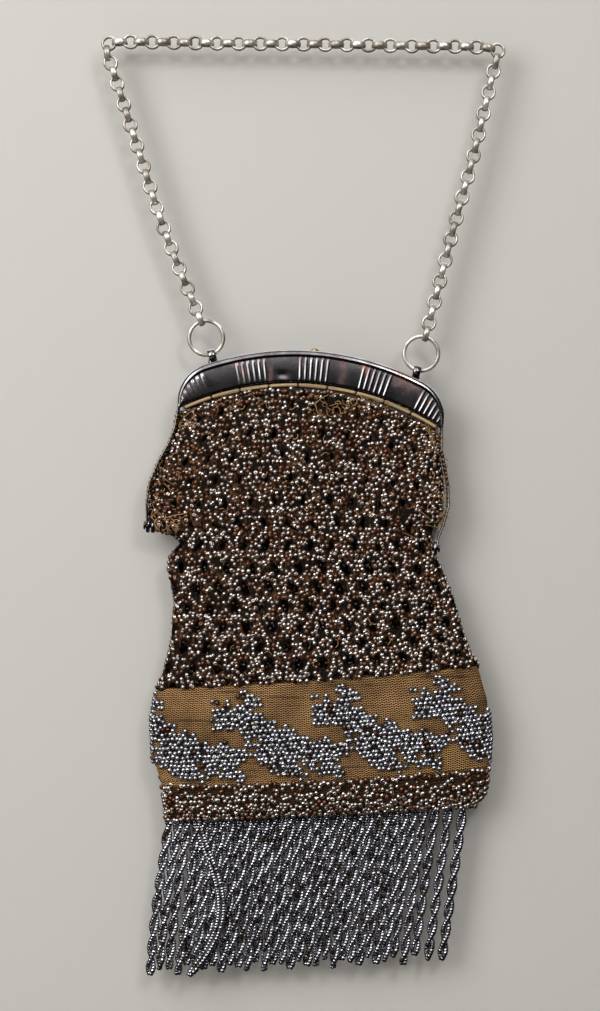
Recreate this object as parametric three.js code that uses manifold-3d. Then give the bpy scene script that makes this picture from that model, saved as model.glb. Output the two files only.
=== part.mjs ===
// Beaded reticule: a purse of steel-bead net and golden-brown knit on an arched steel frame,
// with a long bead fringe, hanging by its chain handle. Millimetres, +Z up, the front faces -Y.
// The origin is the middle of the chain's top run, where the purse hangs.

import * as THREE from "three";
import { mergeVertices } from "three/addons/utils/BufferGeometryUtils.js";
import Module from "manifold-3d";

const wasm = await Module();
wasm.setup();

// Clearances
const GAP = 0.3;
const OVERLAP = 1;

// Sides of round bars: the wider ones, and those of rivets, bores and cords
const BAR_SIDES = 12;
const SMALL_BAR_SIDES = 8;

// Frame: an arch of one wide arc and two shoulder arcs, in its own tilted plane.
// u runs along its chord and v upwards, both from the middle of the chord.
const FRAME_CENTRE = { x: 2.9, z: -124.5 };
const FRAME_TILT = THREE.MathUtils.degToRad(4.5);
const FRAME_HALF_DEPTH = 6;
const ARCH_HALF_WIDTH = 44.2;
const ARCH_RISE = 22;
const ARCH_RADIUS = 92.5;
const SHOULDER_RADIUS = 13;
const PLATE_HEIGHT = 10.6;
const PLATE_LOWER_RADIUS = 90;
const PLATE_THICKNESS = 1;
const RIM_WIDTH = 1.4;
const RIM_PROUD = 0.5;
const FOOT_V = -1.2;
const ARC_SEGMENTS = 5;

// Ribs pressed into the front plate, in groups that point at one centre below the arch
const RIB_GROUPS = 5;
const RIBS_PER_GROUP = 6;
const RIB_CENTRE_V = -75;
const RIB_GROUP_ANGLE = THREE.MathUtils.degToRad(13);
const RIB_PITCH = 1.7;
const RIB_WIDTH = 1.1;
const RIB_CREST = 0.5;
const RIB_HEIGHT = 0.4;
const RIB_MARGIN = 0.9;

// Side arms: outer edges of the strips that run from the arch down to the hinges
const ARM_ROWS = [
  { v: 1, left: -44.2, right: 44.2 },
  { v: -7, left: -44.9, right: 44.6 },
  { v: -13, left: -46.8, right: 46.3 },
  { v: -19, left: -49.6, right: 47.8 },
  { v: -26, left: -51.9, right: 48.5 },
  { v: -33, left: -52.3, right: 47.0 },
  { v: -36, left: -51.9, right: 46.0 },
  { v: -40, left: -51.6, right: 45.6 },
];
const ARM_THICKNESS = 1.3;
const ARM_DEPTH = 4.2;

// Hinges: a lug on each arm's end, side by side on one rivet
const HINGE_V = -40;
const LUG_RADIUS = 2.4;
const LUG_THICKNESS = 1.2;
const LUG_STEP = 1.7;
const LUG_STEP_FROM_V = -26;
const RIVET_RADIUS = 0.75;
const RIVET_HEAD_RADIUS = 1.4;
const RIVET_HEAD = 0.6;

// Eyes soldered on the back half's rim, and the rings that hang in them
const EYE_U = 34.2;
const EYE_LIFT = 2.6;
const EYE_OUTER_RADIUS = 2.1;
const EYE_BORE_RADIUS = 1.45;
const EYE_WIDTH = 2.4;
const EYE_FOOT = { width: 2.2, yNear: 0.3, yFar: 3, height: 2.2 };
const RING_RADIUS = 5.7;
const RING_WIRE = { radial: 1, axial: 1.7 };
const RING_WIRE_SIDES = 8;
const RING_STEPS = 18;
const RING_PULL = 0.5;

// Catch: a low knob on the rim over the seam of the two halves
const CATCH_U = -0.2;
const CATCH = { foot: 1.4, footHeight: 0.25, dome: 1.1, domeHeight: 0.65 };
const CATCH_STEPS = 4;

// Cord sewn along the lower edge of each plate
const CORD_RADIUS = 0.75;
const CORD_HALF_ANGLE = THREE.MathUtils.degToRad(28.3);
const CORD_STEPS = 16;

// Chain handle: outer size of the links, and the way from ring to ring over its two corners
const CHAIN_RADIUS = 2.4;
const CHAIN_SIDES = 10;
const CHAIN_STEPS = 38;
const CHAIN_ROUTE = [
  { x: -45.3, z: -63 },
  { x: -55.4, z: -32 },
  { x: -63.2, z: -7.5 },
  { x: -64.6, z: -2.2 },
  { x: -61.2, z: 0.6 },
  { x: -30, z: 0.3 },
  { x: 0, z: 0 },
  { x: 30, z: -0.5 },
  { x: 61.6, z: -1.2 },
  { x: 65.1, z: -3.8 },
  { x: 63.8, z: -9.6 },
  { x: 57.2, z: -37.5 },
  { x: 50.5, z: -62 },
];
const CHAIN_CORNER_LEFT = { x: -64.6, z: 1 };
const CHAIN_CORNER_RIGHT = { x: 65.4, z: -1.4 };

// Pouch: the level's left and right edge, their heights, how far the level's middle rises
// above the line between them, and half its depth from front to back
const NET_LEVELS = [
  { left: -39.4, right: 44.9, zLeft: -122.8, zRight: -129.4, crown: 10.8, depth: 5.4 },
  { left: -42.4, right: 45.2, zLeft: -132.7, zRight: -137.0, crown: 6.5, depth: 5.6 },
  { left: -48.3, right: 46.3, zLeft: -147.3, zRight: -148.0, crown: 3.5, depth: 6.0 },
  { left: -47.2, right: 41.6, zLeft: -161.0, zRight: -161.0, crown: 1.5, depth: 6.3 },
  { left: -39.8, right: 40.6, zLeft: -163.6, zRight: -165.0, crown: 1.0, depth: 6.4 },
  { left: -42.8, right: 40.8, zLeft: -169.6, zRight: -169.6, crown: 0.6, depth: 6.6 },
  { left: -43.5, right: 44.6, zLeft: -173.4, zRight: -173.4, crown: 0.5, depth: 6.7 },
  { left: -41.6, right: 49.6, zLeft: -185.3, zRight: -184.0, crown: 0, depth: 7.0 },
  { left: -42.8, right: 53.2, zLeft: -199.0, zRight: -196.0, crown: -0.6, depth: 7.1 },
  { left: -48.0, right: 58.6, zLeft: -215.0, zRight: -207.3, crown: -0.8, depth: 7.0 },
];
const BAND_LEVELS = [
  { left: -48.3, right: 58.8, zLeft: -215.3, zRight: -207.6, crown: -0.8, depth: 7.0 },
  { left: -49.7, right: 61.8, zLeft: -225.0, zRight: -218.5, crown: -1.0, depth: 7.0 },
  { left: -49.2, right: 62.7, zLeft: -238.5, zRight: -231.0, crown: -1.0, depth: 6.7 },
  { left: -46.5, right: 62.2, zLeft: -246.4, zRight: -240.0, crown: -1.2, depth: 6.3 },
];
const BORDER_LEVELS = [
  { left: -46.3, right: 62.0, zLeft: -246.7, zRight: -240.3, crown: -1.2, depth: 6.3 },
  { left: -45.3, right: 61.2, zLeft: -253.0, zRight: -249.0, crown: -0.7, depth: 5.0 },
  { left: -45.0, right: 57.3, zLeft: -258.8, zRight: -254.2, crown: 0, depth: 2.6 },
];
const WALL = 2;
const POUCH_SIDES = 16;
const SIDE_FULLNESS = 0.6;
const BORDER_FLOOR = 2;

// Slits at the sides of the net's two flaps, from the frame down to the hinges
const SLIT_WIDTH = 1;
const SLIT_INNER = 36;
const SLIT_OUTER = 60;
const SLIT_TOP = -112;
const SLIT_BOTTOM = -158;

// Open meshes of the net: staggered rows of upright diamonds through front and back. Each row is
// moved to one side by the same share of the pitch, every second row to the other.
const MESH_ROWS = 6;
const MESH_COLUMNS = 9;
const MESH_PITCH = 8.7;
const MESH_STAGGER = 0.25;
const MESH_ROW_HEIGHT = 6.7;
const MESH_WIDTH = 3.2;
const MESH_HEIGHT = 4.8;
const MESH_TOP = -169.5;
const MESH_CENTRE_X = 2.4;

// Fringe: strands on a head under the border, all leaning to the left. The outer strands have more
// space than the others, as shares of the usual space, and one stray strand swings out to the right
// in front of its neighbours. Places on the head count strands from its left end.
const STRANDS = 33;
const STRAND_SPACES = { 0: 1.1, 1: 1.1, 2: 1.05, 29: 1.25, 30: 1.45, 31: 1.6, 32: 1.7 };
const HEAD = { left: -45.4, right: 56.6, zLeft: -260.6, zRight: -256.0, height: 3, depth: 3 };
const HEAD_STEPS = 12;
const STRAND_RADIUS = 1.25;
const STRAND_SIDES = 6;
const STRAND_LENGTH = 48.4;
const STRAND_LENGTH_VARIES = 1.5;
const STRAND_LENGTH_TURN = 2.4;
const LEAN_LEFT_END = 6.6;
const LEAN_RIGHT_END = 7.4;
const STRAY = { place: 3.25, lean: 2.2, bulge: 9.9, forward: 2.8 };
const STRAY_STEPS = 8;

/** A closed geometry as a solid that can be joined and cut. */
function toSolid(geometry) {
  const bare = geometry.clone();
  bare.deleteAttribute("normal");
  bare.deleteAttribute("uv");
  const merged = mergeVertices(bare);
  return new wasm.Manifold(
    new wasm.Mesh({
      numProp: 3,
      vertProperties: new Float32Array(merged.attributes.position.array),
      triVerts: new Uint32Array(merged.index.array),
    }),
  );
}

/** A solid's surface as a geometry. */
function toGeometry(solid) {
  const { vertProperties, triVerts } = solid.getMesh();
  const geometry = new THREE.BufferGeometry();
  geometry.setAttribute("position", new THREE.BufferAttribute(vertProperties, 3));
  geometry.setIndex(new THREE.BufferAttribute(triVerts, 1));
  geometry.computeVertexNormals();
  return geometry;
}

const joined = (solids) => solids.reduce((whole, solid) => whole.add(solid));

/** A flat outline in the plane of u and v, given a thickness between two depths. */
function slab(shape, depthA, depthB) {
  const thickness = Math.abs(depthB - depthA);
  const options = { depth: thickness, bevelEnabled: false, curveSegments: ARC_SEGMENTS };
  const geometry = new THREE.ExtrudeGeometry(shape, options);
  geometry.rotateX(Math.PI / 2);
  geometry.translate(0, Math.max(depthA, depthB), 0);
  return geometry;
}

/** A round tube along a curve, closed at both ends. */
function tube(curve, radius, sides, steps) {
  const section = new THREE.Shape();
  for (let i = 0; i < sides; i += 1) {
    const angle = (2 * Math.PI * i) / sides;
    const [x, y] = [radius * Math.cos(angle), radius * Math.sin(angle)];
    if (i === 0) section.moveTo(x, y);
    else section.lineTo(x, y);
  }
  section.closePath();
  return new THREE.ExtrudeGeometry(section, { steps, extrudePath: curve });
}

/** A point of the tilted frame's plane in the purse's own frame. */
function fromFrame(u, v) {
  const turned = new THREE.Vector3(u, 0, v);
  turned.applyAxisAngle(new THREE.Vector3(0, 1, 0), FRAME_TILT);
  return turned.add(new THREE.Vector3(FRAME_CENTRE.x, 0, FRAME_CENTRE.z));
}

// The arch's outer edge: the shoulder circles touch the wide arc from inside.
const ARCH_CENTRE_V = ARCH_RISE - ARCH_RADIUS;
const SHOULDER_U = ARCH_HALF_WIDTH - SHOULDER_RADIUS;
const SHOULDER_REACH = Math.sqrt((ARCH_RADIUS - SHOULDER_RADIUS) ** 2 - SHOULDER_U ** 2);
const SHOULDER_V = ARCH_CENTRE_V + SHOULDER_REACH;
const SHOULDER_ANGLE = Math.atan2(SHOULDER_REACH, SHOULDER_U);
const LOWER_CENTRE_V = ARCH_RISE - PLATE_HEIGHT - PLATE_LOWER_RADIUS;
const LOWER_END_ANGLE = Math.acos(ARCH_HALF_WIDTH / PLATE_LOWER_RADIUS);

const archTopAt = (u) => ARCH_CENTRE_V + Math.sqrt(ARCH_RADIUS ** 2 - u ** 2);

/** Adds the arch's edge, moved inwards by an inset, from left to right or back. */
function addArch(path, inset, leftToRight) {
  const shoulder = SHOULDER_RADIUS - inset;
  const left = [-SHOULDER_U, SHOULDER_V, shoulder, Math.PI, Math.PI - SHOULDER_ANGLE];
  const top = [0, ARCH_CENTRE_V, ARCH_RADIUS - inset, Math.PI - SHOULDER_ANGLE, SHOULDER_ANGLE];
  const right = [SHOULDER_U, SHOULDER_V, shoulder, SHOULDER_ANGLE, 0];
  const arcs = [left, top, right];
  if (leftToRight) {
    arcs.forEach((arc) => path.absarc(...arc, true));
    return;
  }
  arcs.reverse().forEach(([u, v, radius, from, to]) => path.absarc(u, v, radius, to, from, false));
}

/** The pressed plate between the arch's edge and the lower arc. */
function plateShape() {
  const shape = new THREE.Shape();
  const footV = LOWER_CENTRE_V + PLATE_LOWER_RADIUS * Math.sin(LOWER_END_ANGLE);
  shape.moveTo(-ARCH_HALF_WIDTH, footV);
  addArch(shape, 0, true);
  shape.lineTo(ARCH_HALF_WIDTH, footV);
  shape.absarc(0, LOWER_CENTRE_V, PLATE_LOWER_RADIUS, LOWER_END_ANGLE, Math.PI - LOWER_END_ANGLE, false);
  return shape;
}

/** The rolled rim: a narrow strip along the arch's edge, down to the arms. */
function rimShape() {
  const shape = new THREE.Shape();
  shape.moveTo(-ARCH_HALF_WIDTH, FOOT_V);
  addArch(shape, 0, true);
  shape.lineTo(ARCH_HALF_WIDTH, FOOT_V);
  shape.lineTo(ARCH_HALF_WIDTH - RIM_WIDTH, FOOT_V);
  addArch(shape, RIM_WIDTH, false);
  shape.lineTo(-ARCH_HALF_WIDTH + RIM_WIDTH, FOOT_V);
  return shape;
}

/** One arm: a strip of even thickness whose outer edge follows the table. */
function armShape(column, stepIn) {
  const inwards = column === "left" ? 1 : -1;
  const outer = ARM_ROWS.map((row) => {
    const share = (LUG_STEP_FROM_V - row.v) / (LUG_STEP_FROM_V - HINGE_V);
    const step = stepIn * Math.min(Math.max(share * 2, 0), 1);
    return new THREE.Vector2(row[column] + inwards * step, row.v);
  });
  const inner = outer.map(({ x, y }) => new THREE.Vector2(x + inwards * ARM_THICKNESS, y));
  return new THREE.Shape([...outer, ...inner.reverse()]);
}

/** A round bar along u, from one u to the other, centred on the hinges' line. */
function hingeBar(radius, uFrom, uTo, sides) {
  const bar = new THREE.CylinderGeometry(radius, radius, Math.abs(uTo - uFrom), sides);
  bar.rotateZ(Math.PI / 2);
  bar.translate((uFrom + uTo) / 2, 0, HINGE_V);
  return bar;
}

const HINGE_ROW = ARM_ROWS[ARM_ROWS.length - 1];
const HINGES = [
  { column: "left", inwards: 1, u: HINGE_ROW.left },
  { column: "right", inwards: -1, u: HINGE_ROW.right },
];

/** One half of the frame: plate, rim, arms and hinge lugs. The front is side -1. */
function frameHalf(side) {
  const face = side * FRAME_HALF_DEPTH;
  const seam = (side * GAP) / 2;
  const stepIn = side > 0 ? LUG_STEP : 0;
  const pieces = [
    toSolid(slab(plateShape(), face, face - side * PLATE_THICKNESS)),
    toSolid(slab(rimShape(), face + side * RIM_PROUD, seam)),
  ];
  for (const { column, inwards, u } of HINGES) {
    pieces.push(toSolid(slab(armShape(column, stepIn), side * ARM_DEPTH, seam)));
    const lugU = u + inwards * stepIn;
    pieces.push(toSolid(hingeBar(LUG_RADIUS, lugU, lugU + inwards * LUG_THICKNESS, BAR_SIDES)));
  }
  const bore = RIVET_RADIUS + GAP;
  const reach = LUG_STEP + LUG_THICKNESS + OVERLAP;
  const bores = HINGES.map(({ u }) => toSolid(hingeBar(bore, u - reach, u + reach, SMALL_BAR_SIDES)));
  return joined(pieces).subtract(joined(bores));
}

/** How far a ray from the ribs' centre runs, at an angle from upright, to a circle's far side. */
function rayToCircle(angle, centreU, centreV, radius) {
  const along = centreU * Math.sin(angle) + (centreV - RIB_CENTRE_V) * Math.cos(angle);
  const across = centreU * Math.cos(angle) - (centreV - RIB_CENTRE_V) * Math.sin(angle);
  return along + Math.sqrt(radius ** 2 - across ** 2);
}

/** A raised rib with sloping flanks on the front plate, from the cord to the rim. */
function rib(angle) {
  const low = rayToCircle(angle, 0, LOWER_CENTRE_V, PLATE_LOWER_RADIUS) + RIB_MARGIN;
  const onShoulder = Math.abs(angle) > Math.atan2(SHOULDER_U, SHOULDER_V - RIB_CENTRE_V);
  const shoulderU = Math.sign(angle) * SHOULDER_U;
  const edge = onShoulder
    ? rayToCircle(angle, shoulderU, SHOULDER_V, SHOULDER_RADIUS)
    : rayToCircle(angle, 0, ARCH_CENTRE_V, ARCH_RADIUS);
  const high = edge - RIM_WIDTH - RIB_MARGIN;
  const sunk = PLATE_THICKNESS / 2;
  const section = new THREE.Shape([
    new THREE.Vector2(-RIB_WIDTH / 2, -sunk),
    new THREE.Vector2(RIB_WIDTH / 2, -sunk),
    new THREE.Vector2(RIB_CREST / 2, RIB_HEIGHT),
    new THREE.Vector2(-RIB_CREST / 2, RIB_HEIGHT),
  ]);
  const bar = new THREE.ExtrudeGeometry(section, { depth: high - low, bevelEnabled: false });
  // The section's height turns towards -Y and its length stands along v.
  bar.rotateZ(Math.PI);
  bar.translate(0, -FRAME_HALF_DEPTH, low);
  bar.rotateY(angle);
  bar.translate(0, 0, RIB_CENTRE_V);
  return toSolid(bar);
}

function ribs() {
  const all = [];
  for (let group = 0; group < RIB_GROUPS; group += 1) {
    for (let i = 0; i < RIBS_PER_GROUP; i += 1) {
      const along = (i - (RIBS_PER_GROUP - 1) / 2) * (RIB_PITCH / PLATE_LOWER_RADIUS);
      all.push(rib((group - (RIB_GROUPS - 1) / 2) * RIB_GROUP_ANGLE + along));
    }
  }
  return joined(all);
}

/** The eye's middle, and the direction in which the chain pulls on it, in the frame's plane. */
function eyeAt(side) {
  const centre = new THREE.Vector3(side * EYE_U, 0, archTopAt(EYE_U) + EYE_LIFT);
  const corner = side < 0 ? CHAIN_CORNER_LEFT : CHAIN_CORNER_RIGHT;
  const pull = new THREE.Vector3(corner.x, 0, corner.z).sub(fromFrame(centre.x, centre.z)).normalize();
  const pullInFrame = pull.clone().applyAxisAngle(new THREE.Vector3(0, 1, 0), -FRAME_TILT);
  return { centre, pull, pullInFrame };
}

/** An eye: a short band of strip bent round, with a foot on the back half's rim. */
function eye(side) {
  const { centre, pullInFrame } = eyeAt(side);
  const axis = new THREE.Vector3(pullInFrame.z, 0, -pullInFrame.x);
  const turn = new THREE.Quaternion().setFromUnitVectors(new THREE.Vector3(0, 1, 0), axis);
  const round = (radius, length) => {
    const bar = new THREE.CylinderGeometry(radius, radius, length, BAR_SIDES);
    return toSolid(bar.applyQuaternion(turn).translate(...centre));
  };
  const { width, yNear, yFar, height } = EYE_FOOT;
  const foot = new THREE.BoxGeometry(width, yFar - yNear, height);
  foot.rotateY(Math.asin((side * EYE_U) / ARCH_RADIUS));
  foot.translate(centre.x, (yNear + yFar) / 2, centre.z - EYE_OUTER_RADIUS);
  return round(EYE_OUTER_RADIUS, EYE_WIDTH)
    .add(toSolid(foot))
    .subtract(round(EYE_BORE_RADIUS, EYE_WIDTH + OVERLAP));
}

/** A rivet through both lugs of a hinge, with a head at each end. */
function rivet({ inwards, u }) {
  const outerEnd = u - inwards * GAP;
  const innerEnd = u + inwards * (LUG_STEP + LUG_THICKNESS + GAP);
  const heads = [
    [outerEnd - inwards * RIVET_HEAD, outerEnd],
    [innerEnd, innerEnd + inwards * RIVET_HEAD],
  ];
  const shank = toSolid(hingeBar(RIVET_RADIUS, heads[0][0], heads[1][1], SMALL_BAR_SIDES));
  const ends = heads.map(([a, b]) => toSolid(hingeBar(RIVET_HEAD_RADIUS, a, b, SMALL_BAR_SIDES)));
  return toGeometry(joined([shank, ...ends]));
}

/** The catch: a low dome on a round foot, turned as one. */
function catchKnob() {
  const { foot, footHeight, dome, domeHeight } = CATCH;
  const profile = [new THREE.Vector2(0, 0), new THREE.Vector2(foot, 0), new THREE.Vector2(foot, footHeight)];
  for (let i = 0; i < CATCH_STEPS; i += 1) {
    const angle = (Math.PI / 2) * (i / CATCH_STEPS);
    profile.push(new THREE.Vector2(dome * Math.cos(angle), footHeight + domeHeight * Math.sin(angle)));
  }
  profile.push(new THREE.Vector2(0, footHeight + domeHeight));
  return new THREE.LatheGeometry(profile, BAR_SIDES).rotateX(Math.PI / 2);
}

/** The cord along the plate's lower edge, level with the plate. */
function edgeCord(side) {
  const radius = PLATE_LOWER_RADIUS - GAP - CORD_RADIUS;
  const points = [];
  for (let i = 0; i <= CORD_STEPS; i += 1) {
    const angle = CORD_HALF_ANGLE * ((2 * i) / CORD_STEPS - 1);
    const depth = side * (FRAME_HALF_DEPTH - CORD_RADIUS);
    points.push(
      new THREE.Vector3(radius * Math.sin(angle), depth, LOWER_CENTRE_V + radius * Math.cos(angle)),
    );
  }
  return tube(new THREE.CatmullRomCurve3(points), CORD_RADIUS, SMALL_BAR_SIDES, CORD_STEPS);
}

/** A ring of flat wire with rounded edges, in the plane of X and Z. */
function ring() {
  const { radial, axial } = RING_WIRE;
  const profile = [];
  const corner = 1 / Math.cos(Math.PI / RING_WIRE_SIDES);
  for (let i = 0; i < RING_WIRE_SIDES; i += 1) {
    const angle = (Math.PI * (2 * i + 1)) / RING_WIRE_SIDES - Math.PI;
    const across = (radial / 2) * Math.cos(angle) * corner;
    profile.push(new THREE.Vector2(RING_RADIUS + across, (axial / 2) * Math.sin(angle) * corner));
  }
  profile.push(profile[0].clone());
  return new THREE.LatheGeometry(profile, RING_STEPS);
}

/** The ring's middle: the eye holds the ring's wire at the side that the chain pulls away from. */
function ringCentre(side) {
  const { centre, pull } = eyeAt(side);
  return fromFrame(centre.x, centre.z).addScaledVector(pull, RING_RADIUS + RING_PULL);
}

/** The chain's way, from just clear of one ring to just clear of the other. */
function chainCurve() {
  const reach = RING_RADIUS + RING_WIRE.radial / 2 + GAP;
  const ends = [-1, 1].map((side) => ringCentre(side).addScaledVector(eyeAt(side).pull, reach));
  const points = CHAIN_ROUTE.map(({ x, z }) => new THREE.Vector3(x, 0, z));
  return new THREE.CatmullRomCurve3([ends[0], ...points, ends[1]]);
}

/**
 * A closed solid through the levels of a table: each level is a flat oval with full sides,
 * drawn in by an inset. The first and last level can be moved up and down to run past a wall.
 */
function loft(levels, inset = 0, raiseTop = 0, lowerBottom = 0) {
  const oval = new THREE.Shape();
  oval.absarc(0, 0, 1, 0, 2 * Math.PI, false);
  const steps = levels.length - 1;
  const options = { depth: steps, steps, bevelEnabled: false, curveSegments: POUCH_SIDES / 2 };
  const geometry = new THREE.ExtrudeGeometry(oval, options);
  const position = geometry.attributes.position;
  for (let i = 0; i < position.count; i += 1) {
    const across = position.getX(i);
    const through = position.getY(i);
    const index = steps - Math.round(position.getZ(i));
    const level = levels[index];
    const halfWidth = (level.right - level.left) / 2;
    const x = (level.left + level.right) / 2 + (halfWidth - inset) * across;
    const y = (level.depth - inset) * Math.sign(through) * Math.abs(through) ** SIDE_FULLNESS;
    const share = (x - level.left) / (2 * halfWidth);
    const lift = index === 0 ? raiseTop : 0;
    const drop = index === steps ? lowerBottom : 0;
    const rise = level.crown * (1 - across ** 2) + lift - drop;
    position.setXYZ(i, x, y, level.zLeft + (level.zRight - level.zLeft) * share + rise);
  }
  return toSolid(geometry);
}

/** A sleeve of cloth: the levels' outer form, hollow from top to bottom. */
const sleeve = (levels) => loft(levels).subtract(loft(levels, WALL, OVERLAP, OVERLAP));

/** The slits that part the net's front flap from its back flap, beside the frame's arms. */
function slits() {
  const size = [SLIT_OUTER - SLIT_INNER, SLIT_WIDTH, SLIT_TOP - SLIT_BOTTOM];
  const middle = (SLIT_OUTER + SLIT_INNER) / 2;
  const sides = [-1, 1].map((side) =>
    toSolid(new THREE.BoxGeometry(...size).translate(side * middle, 0, (SLIT_TOP + SLIT_BOTTOM) / 2)),
  );
  return joined(sides);
}

/** The open meshes, as upright diamond bars through both walls, every second row half a pitch on. */
function meshes() {
  const diamond = new THREE.Shape([
    new THREE.Vector2(-MESH_WIDTH / 2, 0),
    new THREE.Vector2(0, -MESH_HEIGHT / 2),
    new THREE.Vector2(MESH_WIDTH / 2, 0),
    new THREE.Vector2(0, MESH_HEIGHT / 2),
  ]);
  const bars = [];
  for (let row = 0; row < MESH_ROWS; row += 1) {
    for (let column = 0; column < MESH_COLUMNS; column += 1) {
      const place = column - (MESH_COLUMNS - 1) / 2 + (row % 2 ? MESH_STAGGER : -MESH_STAGGER);
      const bar = slab(diamond, -2 * FRAME_HALF_DEPTH, 2 * FRAME_HALF_DEPTH);
      bar.translate(MESH_CENTRE_X + place * MESH_PITCH, 0, MESH_TOP - row * MESH_ROW_HEIGHT);
      bars.push(toSolid(bar));
    }
  }
  return joined(bars);
}

/** The border: a sleeve with a floor, which closes the pouch. */
function border() {
  return loft(BORDER_LEVELS).subtract(loft(BORDER_LEVELS, WALL, OVERLAP, -BORDER_FLOOR));
}

/** How far along the head a place lies, from 0 at the left to 1 at the right. */
function headShare(place) {
  const spaces = Array.from({ length: STRANDS }, (_, i) => STRAND_SPACES[i] ?? 1);
  const total = (list) => list.reduce((sum, space) => sum + space, 0);
  const strand = Math.floor(place);
  return (total(spaces.slice(0, strand)) + (place - strand) * spaces[strand]) / total(spaces);
}

/** A point of the head's middle line, from 0 at the left to 1 at the right. */
function headAt(share) {
  const x = THREE.MathUtils.lerp(HEAD.left, HEAD.right, share);
  return new THREE.Vector3(x, 0, THREE.MathUtils.lerp(HEAD.zLeft, HEAD.zRight, share));
}

/** The fringe's head: a bar that follows the border's lower edge. */
function fringeHead() {
  const bar = new THREE.BoxGeometry(1, HEAD.depth, HEAD.height, HEAD_STEPS, 1, 1);
  const position = bar.attributes.position;
  for (let i = 0; i < position.count; i += 1) {
    const middle = headAt(position.getX(i) + 0.5);
    position.setXYZ(i, middle.x, position.getY(i), middle.z + position.getZ(i));
  }
  return toSolid(bar);
}

/** A strand from its place on the head down to its tip: a lean to the left, a bulge to the right. */
function strand({ place, lean, bulge, forward }, steps) {
  const top = headAt(headShare(place));
  const length = STRAND_LENGTH + STRAND_LENGTH_VARIES * Math.sin(place * STRAND_LENGTH_TURN);
  const points = [];
  for (let i = 0; i <= steps; i += 1) {
    const along = i / steps;
    const x = top.x - lean * along + bulge * Math.sin(Math.PI * along);
    const y = -forward * Math.sin((Math.PI / 2) * along);
    points.push(new THREE.Vector3(x, y, top.z - length * along));
  }
  return toSolid(tube(new THREE.CatmullRomCurve3(points), STRAND_RADIUS, STRAND_SIDES, steps));
}

function fringe() {
  const strands = [strand(STRAY, STRAY_STEPS)];
  for (let i = 0; i < STRANDS; i += 1) {
    const place = i + 0.5;
    const lean = THREE.MathUtils.lerp(LEAN_LEFT_END, LEAN_RIGHT_END, headShare(place));
    strands.push(strand({ place, lean, bulge: 0, forward: 0 }, 1));
  }
  return joined([fringeHead(), ...strands]);
}

// Materials, as the photograph shows the surfaces
const finish = (color, roughness, metalness) => new THREE.MeshStandardMaterial({ color, roughness, metalness });
const darkSteel = () => finish(0x4a4744, 0.35, 1);
const nickel = () => finish(0xb8b2a6, 0.3, 1);
const brass = () => finish(0xb08a48, 0.35, 1);
const beadSteel = () => finish(0x77787c, 0.35, 1);
const knit = () => finish(0x8a6332, 0.9, 0);
const cord = () => finish(0xa08a66, 0.85, 0);

const reticule = new THREE.Group();
const frame = new THREE.Group();
frame.position.set(FRAME_CENTRE.x, 0, FRAME_CENTRE.z);
frame.rotation.y = FRAME_TILT;
reticule.add(frame);

/** Adds a named piece to a group. */
function addPiece(group, name, geometry, material) {
  const mesh = new THREE.Mesh(geometry, material);
  mesh.name = name;
  group.add(mesh);
  return mesh;
}

addPiece(frame, "frame_front", toGeometry(frameHalf(-1).add(ribs())), darkSteel());
addPiece(frame, "frame_back", toGeometry(joined([frameHalf(1), eye(-1), eye(1)])), darkSteel());
addPiece(frame, "hinge_rivet_left", rivet(HINGES[0]), darkSteel());
addPiece(frame, "hinge_rivet_right", rivet(HINGES[1]), darkSteel());
addPiece(frame, "catch_knob", catchKnob(), brass()).position.set(CATCH_U, 0, ARCH_RISE + GAP);
addPiece(frame, "edge_cord_front", edgeCord(-1), cord());
addPiece(frame, "edge_cord_back", edgeCord(1), cord());

addPiece(reticule, "ring_left", ring(), nickel()).position.copy(ringCentre(-1));
addPiece(reticule, "ring_right", ring(), nickel()).position.copy(ringCentre(1));
addPiece(reticule, "chain_handle", tube(chainCurve(), CHAIN_RADIUS, CHAIN_SIDES, CHAIN_STEPS), nickel());

addPiece(
  reticule,
  "net_body",
  toGeometry(sleeve(NET_LEVELS).subtract(slits()).subtract(meshes())),
  beadSteel(),
);
addPiece(reticule, "knit_band", toGeometry(sleeve(BAND_LEVELS)), knit());
addPiece(reticule, "bead_border", toGeometry(border()), beadSteel());
addPiece(reticule, "fringe", toGeometry(fringe()), beadSteel());

export default reticule;
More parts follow.
